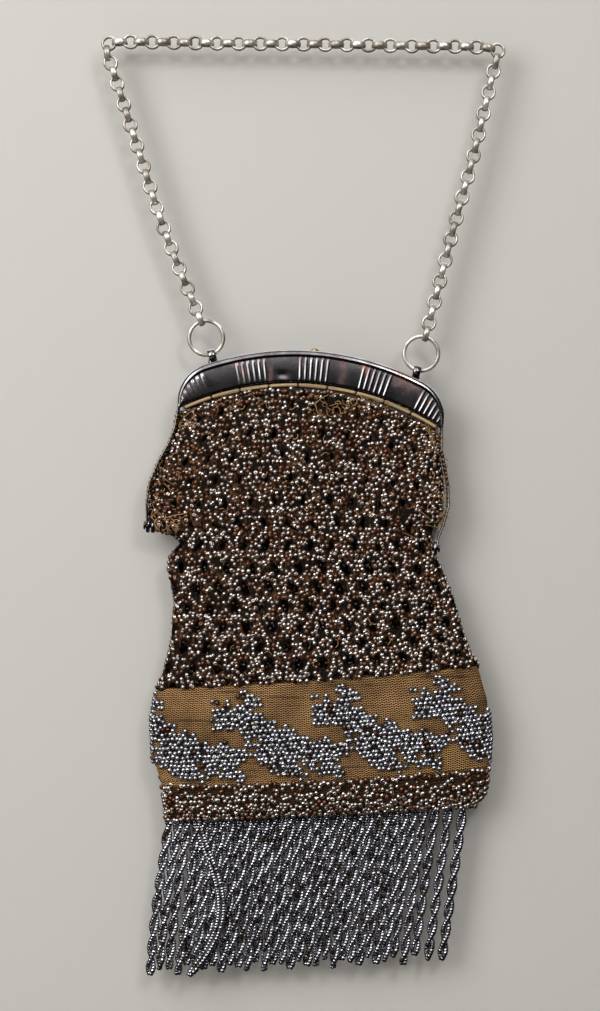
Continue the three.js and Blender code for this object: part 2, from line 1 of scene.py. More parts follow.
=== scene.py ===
import bmesh
import bpy
import numpy as np
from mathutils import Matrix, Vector


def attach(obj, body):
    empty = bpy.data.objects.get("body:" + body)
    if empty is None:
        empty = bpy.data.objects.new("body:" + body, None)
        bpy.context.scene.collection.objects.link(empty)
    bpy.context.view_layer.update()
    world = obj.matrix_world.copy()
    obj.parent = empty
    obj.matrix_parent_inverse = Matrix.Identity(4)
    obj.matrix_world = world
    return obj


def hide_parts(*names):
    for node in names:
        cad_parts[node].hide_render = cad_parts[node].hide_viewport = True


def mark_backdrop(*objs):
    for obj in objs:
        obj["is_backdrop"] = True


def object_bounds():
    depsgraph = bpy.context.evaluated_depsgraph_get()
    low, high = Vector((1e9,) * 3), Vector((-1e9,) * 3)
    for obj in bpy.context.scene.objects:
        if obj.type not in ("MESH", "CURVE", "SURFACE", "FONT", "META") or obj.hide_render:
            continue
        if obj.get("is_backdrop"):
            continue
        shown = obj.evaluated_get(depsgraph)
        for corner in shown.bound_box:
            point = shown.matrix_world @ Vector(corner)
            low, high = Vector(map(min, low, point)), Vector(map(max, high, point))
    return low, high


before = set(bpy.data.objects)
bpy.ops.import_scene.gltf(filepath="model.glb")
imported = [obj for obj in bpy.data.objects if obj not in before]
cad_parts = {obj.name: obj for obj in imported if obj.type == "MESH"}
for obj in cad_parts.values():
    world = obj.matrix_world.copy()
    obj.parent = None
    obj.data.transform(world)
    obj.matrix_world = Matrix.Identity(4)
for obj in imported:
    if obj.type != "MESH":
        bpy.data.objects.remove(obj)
cad_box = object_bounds()


# Camera, board, floor and light
# The purse hangs flat before a plain pale board and is seen square on. Soft light falls from above
# and from the left, a small lamp at the right draws each edge's short shadow on the board, and a
# wide lamp behind lights the back.
MM = 0.001
VIEW_CENTRE_X = -0.5
VIEW_CENTRE_Z = -153.8
VIEW_HEIGHT = 337
LENS = 85
SENSOR = 36
BOARD_Y = 9.2
STAGE_REACH = 900
FLOOR_Z = -365
LIGHT_TARGET = Vector((0, 0, -0.16))
SOFT_LIGHTS = [
    {"name": "light_top", "place": (-0.22, -0.64, 0.44), "size": (1.0, 1.0), "watts": 6.2},
    {"name": "light_key", "place": (0.3, -0.85, 0.33), "size": (0.22, 0.22), "watts": 2.8},
    {"name": "light_left", "place": (-0.62, -0.72, 0.15), "size": (0.6, 0.7), "watts": 6.8},
    {"name": "light_behind", "place": (0.1, 0.8, 0.5), "size": (1.2, 1.2), "watts": 8.0},
]
BOARD_COLOUR = (175, 172, 167)
BACKDROP_COLOUR = (206, 203, 197)
STUDIO_LOWEST = -0.1
STUDIO_DIM = 0.015
STUDIO_BRIGHT = 0.2


def screen_colour(red, green, blue):
    """The linear colour of a screen colour given from 0 to 255."""
    share = np.array([red, green, blue]) / 255
    linear = np.where(share <= 0.04045, share / 12.92, ((share + 0.055) / 1.055) ** 2.4)
    return (*linear.tolist(), 1)


def add_mesh(name, points, faces):
    """A mesh object from whole arrays: points in millimetres, and faces of one corner count."""
    mesh = bpy.data.meshes.new(name)
    corners = faces.shape[1]
    mesh.vertices.add(len(points))
    mesh.vertices.foreach_set("co", (np.asarray(points) * MM).astype(np.float32).ravel())
    mesh.loops.add(faces.size)
    mesh.loops.foreach_set("vertex_index", faces.astype(np.int32).ravel())
    mesh.polygons.add(len(faces))
    mesh.polygons.foreach_set("loop_start", np.arange(0, faces.size, corners, dtype=np.int32))
    mesh.update(calc_edges=True)
    obj = bpy.data.objects.new(name, mesh)
    bpy.context.scene.collection.objects.link(obj)
    return obj


def add_node(tree, kind, inputs, **settings):
    """A shader node with its settings. An input is a plain value or another node's output."""
    node = tree.nodes.new(kind)
    for name, value in settings.items():
        setattr(node, name, value)
    for name, value in inputs.items():
        if isinstance(value, bpy.types.NodeSocket):
            tree.links.new(value, node.inputs[name])
        else:
            node.inputs[name].default_value = value
    return node


def new_finish(name):
    """A material, its node tree and its Principled shader."""
    material = bpy.data.materials.new(name)
    material.use_nodes = True
    return material, material.node_tree, material.node_tree.nodes["Principled BSDF"]


camera_data = bpy.data.cameras.new("camera")
camera_data.lens = LENS
camera_data.sensor_width = SENSOR
camera = bpy.data.objects.new("camera", camera_data)
camera.location = Vector((VIEW_CENTRE_X, -VIEW_HEIGHT * LENS / SENSOR, VIEW_CENTRE_Z)) * MM
camera.rotation_euler = (np.pi / 2, 0, 0)
bpy.context.scene.collection.objects.link(camera)
bpy.context.scene.camera = camera

ONE_FACE = np.array([[0, 1, 2, 3]])
board_points = [
    (-STAGE_REACH, BOARD_Y, FLOOR_Z),
    (STAGE_REACH, BOARD_Y, FLOOR_Z),
    (STAGE_REACH, BOARD_Y, STAGE_REACH),
    (-STAGE_REACH, BOARD_Y, STAGE_REACH),
]
floor_points = [
    (-STAGE_REACH, -STAGE_REACH, FLOOR_Z),
    (STAGE_REACH, -STAGE_REACH, FLOOR_Z),
    (STAGE_REACH, STAGE_REACH, FLOOR_Z),
    (-STAGE_REACH, STAGE_REACH, FLOOR_Z),
]
board = add_mesh("board", board_points, ONE_FACE)
floor = add_mesh("floor", floor_points, ONE_FACE)
board.visible_shadow = False

# Board and floor are seen from the front alone, so that they never hide the purse, and the steel
# doesn't mirror them, so that each bead keeps a dark edge.
pale_board, board_tree, board_shader = new_finish("pale_board")
board_shader.inputs["Base Color"].default_value = screen_colour(*BOARD_COLOUR)
board_shader.inputs["Roughness"].default_value = 0.9
board_side = add_node(board_tree, "ShaderNodeNewGeometry", {}).outputs["Backfacing"]
board_ray = add_node(board_tree, "ShaderNodeLightPath", {}).outputs["Is Glossy Ray"]
board_gone = add_node(board_tree, "ShaderNodeMath", {0: board_side, 1: board_ray}, operation="MAXIMUM")
see_through = add_node(board_tree, "ShaderNodeBsdfTransparent", {})
board_mix_inputs = {
    0: board_gone.outputs[0],
    1: board_shader.outputs["BSDF"],
    2: see_through.outputs["BSDF"],
}
board_mix = add_node(board_tree, "ShaderNodeMixShader", board_mix_inputs)
board_tree.links.new(board_mix.outputs[0], board_tree.nodes["Material Output"].inputs["Surface"])
board.data.materials.append(pale_board)
floor.data.materials.append(pale_board)
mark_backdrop(board, floor)

for row in SOFT_LIGHTS:
    lamp_data = bpy.data.lights.new(row["name"], "AREA")
    lamp_data.shape = "RECTANGLE"
    lamp_data.size, lamp_data.size_y = row["size"]
    lamp_data.energy = row["watts"]
    lamp = bpy.data.objects.new(row["name"], lamp_data)
    lamp.location = row["place"]
    lamp.rotation_euler = (LIGHT_TARGET - lamp.location).to_track_quat("-Z", "Y").to_euler()
    bpy.context.scene.collection.objects.link(lamp)

studio = bpy.data.worlds.new("studio")
studio.use_nodes = True
studio_way = add_node(studio.node_tree, "ShaderNodeTexCoord", {}).outputs["Generated"]
studio_height = add_node(studio.node_tree, "ShaderNodeSeparateXYZ", {"Vector": studio_way}).outputs["Z"]
studio_inputs = {
    "Value": studio_height,
    "From Min": STUDIO_LOWEST,
    "From Max": 1,
    "To Min": STUDIO_DIM,
    "To Max": STUDIO_BRIGHT,
}
studio_glow = add_node(studio.node_tree, "ShaderNodeMapRange", studio_inputs).outputs["Result"]
studio_seen = add_node(studio.node_tree, "ShaderNodeLightPath", {}).outputs["Is Camera Ray"]
studio_mix_inputs = {0: studio_seen, 6: studio_glow, 7: screen_colour(*BACKDROP_COLOUR)}
studio_mix = add_node(studio.node_tree, "ShaderNodeMix", studio_mix_inputs, data_type="RGBA")
studio.node_tree.links.new(studio_mix.outputs[2], studio.node_tree.nodes["Background"].inputs["Color"])
bpy.context.scene.world = studio
bpy.context.scene.view_settings.view_transform = "Standard"


# Frame halves
# Two arched halves of dark pressed steel, each a bulged plate with a rolled rim, a wall towards
# the seam and two arms down to the hinges. Ribs are pressed into the front plate in five groups,
# and two eyes are soldered on the back half for the chain's rings.
FRAME_X = 2.9
FRAME_Z = -124.5
FRAME_TILT = np.radians(4.5)
FRAME_HALF_DEPTH = 6
ARCH_HALF_WIDTH = 44.2
ARCH_RISE = 22
ARCH_RADIUS = 92.5
SHOULDER_RADIUS = 13
PLATE_HEIGHT = 10.6
PLATE_LOWER_RADIUS = 90
PLATE_THICKNESS = 1
PLATE_BULGE = 0.12
RIM_WIDTH = 1.7
RIM_PROFILE = np.array([
    # share of the rim's height, how far it stands proud of the plate
    (0.0, 0.05),
    (0.03, 0.5),
    (0.1, 0.62),
    (0.16, 0.61),
    (0.5, 0.5),
    (0.64, 0.36),
    (0.82, 0.0),
    (1.0, -0.9),
])
SEAM = 0.15
PLATE_END_ANGLE = np.radians(30.3)
PLATE_STATIONS = {-1: 801, 1: 161}
FACE_STEPS = 13
RIB_GROUPS = 5
RIBS_PER_GROUP = 6
RIB_CENTRE_V = -75
RIB_GROUP_ANGLE = np.radians(13)
RIB_PITCH = 1.78
RIB_WIDTH = 1.2
RIB_HEIGHT = 0.17
RIB_FOOT_ROOM = 0.2
RIB_HEAD_ROOM = 0.5
RIB_TAPER = 0.6
DENT_U = -10.2
DENT_V = 13.3
DENT_HALF_WIDTH = 1.7
DENT_HALF_HEIGHT = 0.8
DENT_DEPTH = 0.3
COPPER_STAINS = np.array([
    # u, v, half width, half height
    (-14.2, 14.5, 0.9, 4.5),
    (9.6, 15.5, 2.2, 4.2),
    (31.2, 14.0, 4.6, 4.6),
    (17.0, 17.5, 2.0, 1.6),
])
ARM_ROWS = np.array([
    # v, left edge, right edge
    (3, -44.2, 44.2),
    (1, -44.2, 44.2),
    (-7, -44.9, 44.6),
    (-13, -46.8, 46.3),
    (-19, -49.6, 47.8),
    (-26, -51.9, 48.5),
    (-33, -52.3, 47.0),
    (-36, -51.9, 46.0),
    (-40, -51.6, 45.6),
])
ARM_THICKNESS = 0.7
ARM_DEPTH = 4.2
ARM_STATIONS = 61
ARM_INWARDS = {1: 1, 2: -1}
STRIP_SIDES = 16
STRIP_ROUNDING = 0.5
TURNED_SIDES = 32
HINGE_V = -40
LUG_RADIUS = 2.4
LUG_BORE = 1.05
LUG_THICKNESS = 1.2
LUG_STEP = 1.7
LUG_STEP_FROM_V = -26
EYE_U = 34.2
EYE_LIFT = 2.6
EYE_OUTER_RADIUS = 2.1
EYE_BORE_RADIUS = 1.45
EYE_WIDTH = 2.4
EYE_SOFT_EDGE = 0.25
EYE_FOOT_WIDTH = 2.2
EYE_FOOT_HEIGHT = 2.2
EYE_FOOT_NEAR = 0.3
EYE_FOOT_FAR = 3
CHAIN_CORNERS = {-1: np.array([-64.6, 0, 1]), 1: np.array([65.4, 0, -1.4])}
ARCH_CENTRE_V = ARCH_RISE - ARCH_RADIUS
SHOULDER_U = ARCH_HALF_WIDTH - SHOULDER_RADIUS
SHOULDER_V = ARCH_CENTRE_V + np.sqrt((ARCH_RADIUS - SHOULDER_RADIUS) ** 2 - SHOULDER_U ** 2)
SHOULDER_JOIN_U = SHOULDER_U * ARCH_RADIUS / (ARCH_RADIUS - SHOULDER_RADIUS)
SHOULDER_JOIN_V = ARCH_CENTRE_V + np.sqrt(ARCH_RADIUS ** 2 - SHOULDER_JOIN_U ** 2)
SHOULDER_JOIN_ANGLE = np.arctan2(SHOULDER_JOIN_U, SHOULDER_JOIN_V - RIB_CENTRE_V)
LOWER_CENTRE_V = ARCH_RISE - PLATE_HEIGHT - PLATE_LOWER_RADIUS


def frame_point(u, v, y):
    """A point of the tilted frame in the purse's own frame: u along the chord, v up, y to the back."""
    x = FRAME_X + u * np.cos(FRAME_TILT) + v * np.sin(FRAME_TILT)
    z = FRAME_Z - u * np.sin(FRAME_TILT) + v * np.cos(FRAME_TILT)
    return np.stack(np.broadcast_arrays(x, y, z), axis=-1)


def full_turn(sides):
    """Angles once round a circle, evenly spaced."""
    return np.linspace(0, 2 * np.pi, sides, endpoint=False)


def signed_power(value, power):
    """A power of a value's size that keeps its sign: on an oval's sides, it draws out the corners."""
    return np.sign(value) * np.abs(value) ** power


def unit(vectors):
    """The same directions with length 1."""
    return vectors / np.linalg.norm(vectors, axis=-1, keepdims=True)


def arch_top(u):
    """Height of the arch's outer edge: one wide arc, and a shoulder arc past each of its ends."""
    across = np.abs(u)
    wide = ARCH_CENTRE_V + np.sqrt(ARCH_RADIUS ** 2 - across ** 2)
    drop = np.sqrt(np.maximum(SHOULDER_RADIUS ** 2 - (across - SHOULDER_U) ** 2, 0))
    return np.where(across < SHOULDER_JOIN_U, wide, SHOULDER_V + drop)


def ray_reach(angle, centre_u, centre_v, radius):
    """How far a ray from the ribs' centre runs to a circle's far side, at an angle from upright."""
    along = centre_u * np.sin(angle) + (centre_v - RIB_CENTRE_V) * np.cos(angle)
    across = centre_u * np.cos(angle) - (centre_v - RIB_CENTRE_V) * np.sin(angle)
    return along + np.sqrt(np.maximum(radius ** 2 - across ** 2, 0))


def rib_relief(angle, above_foot, below_rim):
    """Height of the pressed ribs: a rounded crest at each rib's angle, tapered at both its ends."""
    last_group = (RIB_GROUPS - 1) / 2
    last_rib = (RIBS_PER_GROUP - 1) / 2
    group = np.clip(np.round(angle / RIB_GROUP_ANGLE), -last_group, last_group)
    place = (angle - group * RIB_GROUP_ANGLE) * PLATE_LOWER_RADIUS / RIB_PITCH
    nearest = np.clip(np.round(place - last_rib) + last_rib, -last_rib, last_rib)
    off = np.clip(np.abs(place - nearest) * RIB_PITCH / (RIB_WIDTH / 2), 0, 1)
    room = np.minimum(above_foot - RIB_FOOT_ROOM, below_rim - RIB_HEAD_ROOM)
    fade = np.clip(room / RIB_TAPER, 0, 1)
    return RIB_HEIGHT * (0.5 + 0.5 * np.cos(np.pi * off)) * fade


def grid_faces(rows, columns, closed_rows=False, closed_columns=False):
    """Four-cornered faces of a grid of points, which may close on itself either way."""
    row = np.arange(rows if closed_rows else rows - 1)[:, None]
    column = np.arange(columns if closed_columns else columns - 1)[None, :]
    next_row = (row + 1) % rows
    next_column = (column + 1) % columns
    corners = [
        row * columns + column,
        row * columns + next_column,
        next_row * columns + next_column,
        next_row * columns + column,
    ]
    return np.stack(np.broadcast_arrays(*corners), axis=-1).reshape(-1, 4)


def lofted(sections):
    """A closed skin through sections, an array of rows of points: each end is drawn to its middle."""
    middle = sections.mean(axis=1, keepdims=True)
    first = np.repeat(middle[:1], sections.shape[1], axis=1)
    last = np.repeat(middle[-1:], sections.shape[1], axis=1)
    rows = np.concatenate([first, sections, last])
    return rows.reshape(-1, 3), grid_faces(len(rows), sections.shape[1], closed_columns=True)


def turned(profile, centre, axis, start, sides):
    """A closed profile of (radius, height) rows, turned once round an axis from a start direction."""
    angle = full_turn(sides)[:, None, None]
    spoke = np.cos(angle) * start + np.sin(angle) * np.cross(axis, start)
    points = centre + profile[None, :, :1] * spoke + profile[None, :, 1:] * np.asarray(axis)
    return points.reshape(-1, 3), grid_faces(sides, len(profile), closed_rows=True, closed_columns=True)


def outwards(points, faces):
    """The faces of a closed skin, turned so that its enclosed volume counts as positive."""
    a, b, c, d = (points[faces[:, k]] for k in range(4))
    volume = np.einsum("ij,ij->i", a, np.cross(b, c)) + np.einsum("ij,ij->i", a, np.cross(c, d))
    return faces if volume.sum() > 0 else faces[:, ::-1]


def together(skins):
    """Several closed skins as one set of points and faces."""
    starts = np.cumsum([0] + [len(points) for points, _ in skins[:-1]])
    points = np.concatenate([points for points, _ in skins])
    faces = [outwards(part, rows) + start for (part, rows), start in zip(skins, starts)]
    return points, np.concatenate(faces)


def merged(obj, distance=1e-7):
    """Joins points of the mesh that share a place, such as the ends of a skin or a seam."""
    shape = bmesh.new()
    shape.from_mesh(obj.data)
    bmesh.ops.remove_doubles(shape, verts=shape.verts, dist=distance)
    shape.to_mesh(obj.data)
    shape.free()
    return obj


def smooth_shaded(obj):
    """Shades every face of the mesh round instead of flat."""
    obj.data.polygons.foreach_set("use_smooth", np.ones(len(obj.data.polygons), dtype=bool))
    return obj


def frame_plate(side):
    """One half's plate, rim and wall: a profile carried along the arch from left to right.

    The profile follows a ray from the ribs' centre. It climbs the bulged face with its ribs, rolls
    over the rim, runs along the wall to the seam and returns inside. The front half is side -1."""
    angle = np.linspace(-PLATE_END_ANGLE, PLATE_END_ANGLE, PLATE_STATIONS[side])[:, None]
    wide = ray_reach(angle, 0, ARCH_CENTRE_V, ARCH_RADIUS)
    shoulder = ray_reach(angle, np.sign(angle) * SHOULDER_U, SHOULDER_V, SHOULDER_RADIUS)
    top = np.where(np.abs(angle) < SHOULDER_JOIN_ANGLE, wide, shoulder)
    foot = ray_reach(angle, 0, LOWER_CENTRE_V, PLATE_LOWER_RADIUS)
    brow = np.maximum(top - RIM_WIDTH, foot)
    face = foot + (brow - foot) * np.linspace(0, 1, FACE_STEPS)[None, :]
    relief = PLATE_BULGE * np.sin(np.linspace(0, np.pi, FACE_STEPS))[None, :] + 0 * angle
    if side < 0:
        dent_u = (face * np.sin(angle) - DENT_U) / DENT_HALF_WIDTH
        dent_v = (RIB_CENTRE_V + face * np.cos(angle) - DENT_V) / DENT_HALF_HEIGHT
        dent = DENT_DEPTH * np.exp(-dent_u ** 2 - dent_v ** 2)
        relief = relief + rib_relief(angle, face - foot, brow - face) - dent
    rim = brow + (top - brow) * RIM_PROFILE[None, :, 0]
    proud = RIM_PROFILE[None, :, 1] + 0 * angle
    inner = FRAME_HALF_DEPTH - PLATE_THICKNESS
    inner_top = np.maximum(top - PLATE_THICKNESS, foot)
    reach = np.concatenate([face, rim, top, inner_top, inner_top, foot], axis=1)
    depths = [depth + 0 * angle for depth in (SEAM, SEAM, inner, inner)]
    y = np.concatenate([FRAME_HALF_DEPTH + relief, FRAME_HALF_DEPTH + proud, *depths], axis=1)
    return lofted(frame_point(reach * np.sin(angle), RIB_CENTRE_V + reach * np.cos(angle), side * y))


def arm_edge(v, column):
    """Where an arm's outer edge runs at heights v, by the table's column."""
    return np.interp(-v, -ARM_ROWS[:, 0], ARM_ROWS[:, column])


def strip_section():
    """A rounded square once round, from -1 to 1 both ways."""
    angle = full_turn(STRIP_SIDES)[None, :]
    return signed_power(np.cos(angle), STRIP_ROUNDING), signed_power(np.sin(angle), STRIP_ROUNDING)


def frame_arm(side, column):
    """One arm: a rounded strip carried down the table's edge, stepped inwards on the back half."""
    v = np.linspace(ARM_ROWS[0, 0], HINGE_V, ARM_STATIONS)[:, None]
    share = np.clip(2 * (LUG_STEP_FROM_V - v) / (LUG_STEP_FROM_V - HINGE_V), 0, 1)
    step = LUG_STEP * share * (3 - 2 * share) * share if side > 0 else 0 * v
    middle = arm_edge(v, column) + ARM_INWARDS[column] * (step + ARM_THICKNESS / 2)
    across, through = strip_section()
    y = side * ((ARM_DEPTH + SEAM) / 2 + (ARM_DEPTH - SEAM) / 2 * through)
    return lofted(frame_point(middle + ARM_THICKNESS / 2 * across, v, y))


FRAME_U = frame_point(1, 0, 0) - frame_point(0, 0, 0)
FRAME_V = frame_point(0, 1, 0) - frame_point(0, 0, 0)
TO_BACK = np.array([0.0, 1.0, 0.0])


def hinge_lug(side, column):
    """One lug: a flat disc with a bore, its axis along the hinge line."""
    inwards = ARM_INWARDS[column]
    start = ARM_ROWS[-1, column] + (inwards * LUG_STEP if side > 0 else 0)
    edge = LUG_THICKNESS / 6
    profile = np.array([
        (LUG_BORE, 0),
        (LUG_RADIUS - edge, 0),
        (LUG_RADIUS, edge),
        (LUG_RADIUS, LUG_THICKNESS - edge),
        (LUG_RADIUS - edge, LUG_THICKNESS),
        (LUG_BORE, LUG_THICKNESS),
    ])
    return turned(profile, frame_point(start, HINGE_V, 0), inwards * FRAME_U, TO_BACK, TURNED_SIDES)


def eye_centre(side):
    """The middle of an eye above the arch, at the left for side -1."""
    return frame_point(side * EYE_U, arch_top(EYE_U) + EYE_LIFT, 0)


def chain_pull(side):
    """The direction in which the chain pulls on an eye, towards its corner at the top."""
    return unit(CHAIN_CORNERS[side] - eye_centre(side))


def soldered_eye(side):
    """An eye of bent strip across the pull, and its foot on the back half's rim."""
    pull = chain_pull(side)
    half = EYE_WIDTH / 2
    profile = np.array([
        (EYE_BORE_RADIUS, EYE_SOFT_EDGE - half),
        (EYE_BORE_RADIUS + EYE_SOFT_EDGE, -half),
        (EYE_OUTER_RADIUS - EYE_SOFT_EDGE, -half),
        (EYE_OUTER_RADIUS, EYE_SOFT_EDGE - half),
        (EYE_OUTER_RADIUS, half - EYE_SOFT_EDGE),
        (EYE_OUTER_RADIUS - EYE_SOFT_EDGE, half),
        (EYE_BORE_RADIUS + EYE_SOFT_EDGE, half),
        (EYE_BORE_RADIUS, half - EYE_SOFT_EDGE),
    ])
    eye = turned(profile, eye_centre(side), np.cross(TO_BACK, pull), pull, TURNED_SIDES)
    across, up = strip_section()
    u = side * EYE_U + across * EYE_FOOT_WIDTH / 2
    v = arch_top(EYE_U) + EYE_LIFT - EYE_OUTER_RADIUS + up * EYE_FOOT_HEIGHT / 2
    y = np.array([EYE_FOOT_NEAR, EYE_FOOT_FAR])[:, None]
    return [eye, lofted(frame_point(u, v, y))]


COLOUR = "NodeSocketColor"
VALUE = "NodeSocketFloat"


def new_group(name, inputs, outputs):
    """A shader node group by its sockets' names and kinds: its tree, its inputs and its outputs."""
    tree = bpy.data.node_groups.new(name, "ShaderNodeTree")
    for way, sockets in (("INPUT", inputs), ("OUTPUT", outputs)):
        for label, kind in sockets.items():
            tree.interface.new_socket(label, in_out=way, socket_type=kind)
    return tree, tree.nodes.new("NodeGroupInput").outputs, tree.nodes.new("NodeGroupOutput").inputs


def add_ramp(tree, factor, stops):
    """A colour ramp through (place, brightness) stops, as a grey output."""
    ramp = add_node(tree, "ShaderNodeValToRGB", {"Fac": factor})
    ramp.color_ramp.elements.remove(ramp.color_ramp.elements[1])
    for index, (place, level) in enumerate(stops):
        element = ramp.color_ramp.elements[0] if index == 0 else ramp.color_ramp.elements.new(place)
        element.position = place
        element.color = (level, level, level, 1)
    return ramp.outputs["Color"]


def add_colour_mix(tree, factor, first, second):
    """A colour between two, as an output."""
    inputs = {0: factor, 6: first, 7: second}
    return add_node(tree, "ShaderNodeMix", inputs, data_type="RGBA").outputs[2]


def add_math(tree, operation, first, second=0.0, third=0.0):
    """One step of arithmetic, as an output."""
    inputs = {0: first, 1: second, 2: third}
    return add_node(tree, "ShaderNodeMath", inputs, operation=operation).outputs[0]


def add_noise(tree, scale, detail=3.0, stretch=(1, 1, 1)):
    """Noise over the object's own coordinates in metres, as a value from about 0 to 1."""
    place = add_node(tree, "ShaderNodeTexCoord", {}).outputs["Object"]
    mapping = add_node(tree, "ShaderNodeMapping", {"Vector": place, "Scale": stretch})
    inputs = {"Vector": mapping.outputs["Vector"], "Scale": scale, "Detail": detail}
    return add_node(tree, "ShaderNodeTexNoise", inputs).outputs["Fac"]


def read_attribute(tree, name):
    """The number that each point of the mesh carries under a name, as an output."""
    return add_node(tree, "ShaderNodeAttribute", {}, attribute_name=name).outputs["Fac"]


def dress(tree, shader, colour, height, strength, distance):
    """Gives a shader its colour, and a bump by a height over a distance in metres."""
    tree.links.new(colour, shader.inputs["Base Color"])
    bump = add_node(tree, "ShaderNodeBump", {"Height": height, "Strength": strength, "Distance": distance})
    tree.links.new(bump.outputs["Normal"], shader.inputs["Normal"])


def add_attribute(obj, name, values):
    """A number at each point of the mesh, for its material to read."""
    field = obj.data.attributes.new(name, "FLOAT", "POINT")
    field.data.foreach_set("value", np.asarray(values, dtype=np.float32).ravel())


def stain_at(points):
    """How deep in a copper stain each point of the frame lies: a soft spot for each table row."""
    u = (points - frame_point(0, 0, 0)) @ FRAME_U
    v = (points - frame_point(0, 0, 0)) @ FRAME_V
    off_u = (u[:, None] - COPPER_STAINS[None, :, 0]) / COPPER_STAINS[None, :, 2]
    off_v = (v[:, None] - COPPER_STAINS[None, :, 1]) / COPPER_STAINS[None, :, 3]
    return np.exp(-off_u ** 2 - off_v ** 2).max(axis=1) * (points[:, 1] < 0)


def old_metal_group():
    """Old metal: cloudy dulling all over and stains in patches, over a clean colour.

    Stains gather where the piece carries a stain attribute."""
    inputs = {"Clean": COLOUR, "Dull": COLOUR, "Stain": COLOUR, "Scale": VALUE, "Satin": VALUE}
    tree, given, made = new_group("old_metal", inputs, {"Colour": COLOUR, "Roughness": VALUE})
    cloud = add_noise(tree, given["Scale"], 5.0)
    speck = add_noise(tree, 1400.0, 2.0)
    dulled = add_ramp(tree, cloud, [(0.36, 0), (0.62, 1)])
    placed = read_attribute(tree, "stain")
    patches = add_math(tree, "MULTIPLY_ADD", placed, 0.4, add_noise(tree, 220.0, 5.0))
    patches = add_ramp(tree, patches, [(0.58, 0), (0.95, 0.9)])
    colour = add_colour_mix(tree, dulled, given["Clean"], given["Dull"])
    colour = add_colour_mix(tree, patches, colour, given["Stain"])
    rough = add_math(tree, "MULTIPLY_ADD", dulled, 0.1, given["Satin"])
    rough = add_math(tree, "MULTIPLY_ADD", patches, 0.14, rough)
    rough = add_math(tree, "MULTIPLY_ADD", speck, 0.08, rough)
    tree.links.new(colour, made["Colour"])
    tree.links.new(rough, made["Roughness"])
    return tree


OLD_METAL = old_metal_group()


def old_metal_finish(name, clean, dull, stain, scale, satin, metallic):
    """A metal finish in screen colours, with its clouds and stains from the shared group."""
    material, tree, shader = new_finish(name)
    inputs = {
        "Clean": screen_colour(*clean),
        "Dull": screen_colour(*dull),
        "Stain": screen_colour(*stain),
        "Scale": scale,
        "Satin": satin,
    }
    group = add_node(tree, "ShaderNodeGroup", inputs, node_tree=OLD_METAL)
    scratch = add_noise(tree, 900.0, 3.0, (1, 1, 0.25))
    dress(tree, shader, group.outputs["Colour"], scratch, 0.02, 0.0002)
    tree.links.new(group.outputs["Roughness"], shader.inputs["Roughness"])
    shader.inputs["Metallic"].default_value = metallic
    return material


dark_steel = old_metal_finish("dark_steel", (142, 139, 140), (96, 91, 93), (146, 110, 98), 140.0, 0.1, 1.0)
EYES = {-1: [], 1: [*soldered_eye(-1), *soldered_eye(1)]}
HALVES = ((-1, "front"), (1, "back"))
for side, face in HALVES:
    half_points, half_faces = together([
        frame_plate(side),
        frame_arm(side, 1),
        frame_arm(side, 2),
        hinge_lug(side, 1),
        hinge_lug(side, 2),
        *EYES[side],
    ])
    half = add_mesh("frame_half_" + face, half_points, half_faces)
    node = "frame_" + face
    add_attribute(half, "stain", stain_at(half_points))
    smooth_shaded(merged(half)).data.materials.append(dark_steel)
    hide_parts(node)
    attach(half, "root")


# Hinge rivets and catch
# Blackened steel rivets hold the arms' lugs together, and a small worn brass knob on the rim is
# the catch.
black_steel = old_metal_finish("black_steel", (84, 78, 74), (50, 45, 42), (86, 62, 46), 500.0, 0.2, 1.0)
worn_brass = old_metal_finish("worn_brass", (196, 160, 96), (130, 98, 56), (84, 62, 40), 600.0, 0.25, 1.0)
CAD_FINISHES = {"hinge_rivet_left": black_steel, "hinge_rivet_right": black_steel, "catch_knob": worn_brass}
for node, material in CAD_FINISHES.items():
    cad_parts[node].data.materials.clear()
    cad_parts[node].data.materials.append(material)


# Edge cords
# A tan cord of two long plies is sewn along the lower edge of each plate. Brown thread pulls it in
# at every stitch, which leaves smooth rounded lengths between dark notches. The cord's colour is
# darkened in the groove between the plies as painted shade, and at each notch both for the brown
# stitch thread and as painted shade.
CORD_RADIUS = 0.6
CORD_ARC_RADIUS = 88.95
CORD_HALF_ANGLE = np.radians(28.3)
CORD_STATIONS = 401
CORD_SIDES = 12
PLY_TURN = 26
PLY_GROOVE = 0.1
GROOVE_SHADE = 0.35
STITCH_PITCH = 9.7
STITCH_HALF_WIDTH = 0.34
STITCH_DEPTH = 0.5


def edge_cord(side):
    """The cord's points and their painted shade: a lobed profile that turns as it goes.

    The radius is full on the plies, less in the groove between them, and drawn in at each stitch."""
    turn = np.linspace(-CORD_HALF_ANGLE, CORD_HALF_ANGLE, CORD_STATIONS)[:, None]
    along = turn * CORD_ARC_RADIUS
    angle = full_turn(CORD_SIDES)[None, :]
    groove = 0.5 - 0.5 * np.cos(2 * angle - 2 * np.pi * along / PLY_TURN)
    off_stitch = (np.mod(along / STITCH_PITCH, 1) - 0.5) * STITCH_PITCH
    pinch = np.exp(-(off_stitch / STITCH_HALF_WIDTH) ** 2) + 0 * angle
    radius = CORD_RADIUS * (1 - PLY_GROOVE * groove) * (1 - STITCH_DEPTH * pinch)
    reach = CORD_ARC_RADIUS + radius * np.cos(angle)
    y = side * (FRAME_HALF_DEPTH - CORD_RADIUS) + radius * np.sin(angle)
    sections = frame_point(reach * np.sin(turn), LOWER_CENTRE_V + reach * np.cos(turn), y)
    # Painted shade: a little in the groove between the plies, and full in each stitch's notch, where it
    # also stands for the brown stitch thread.
    depth = np.maximum(groove * GROOVE_SHADE, pinch)
    ends = np.ones((1, CORD_SIDES))
    return lofted(sections), np.concatenate([ends, depth, ends])


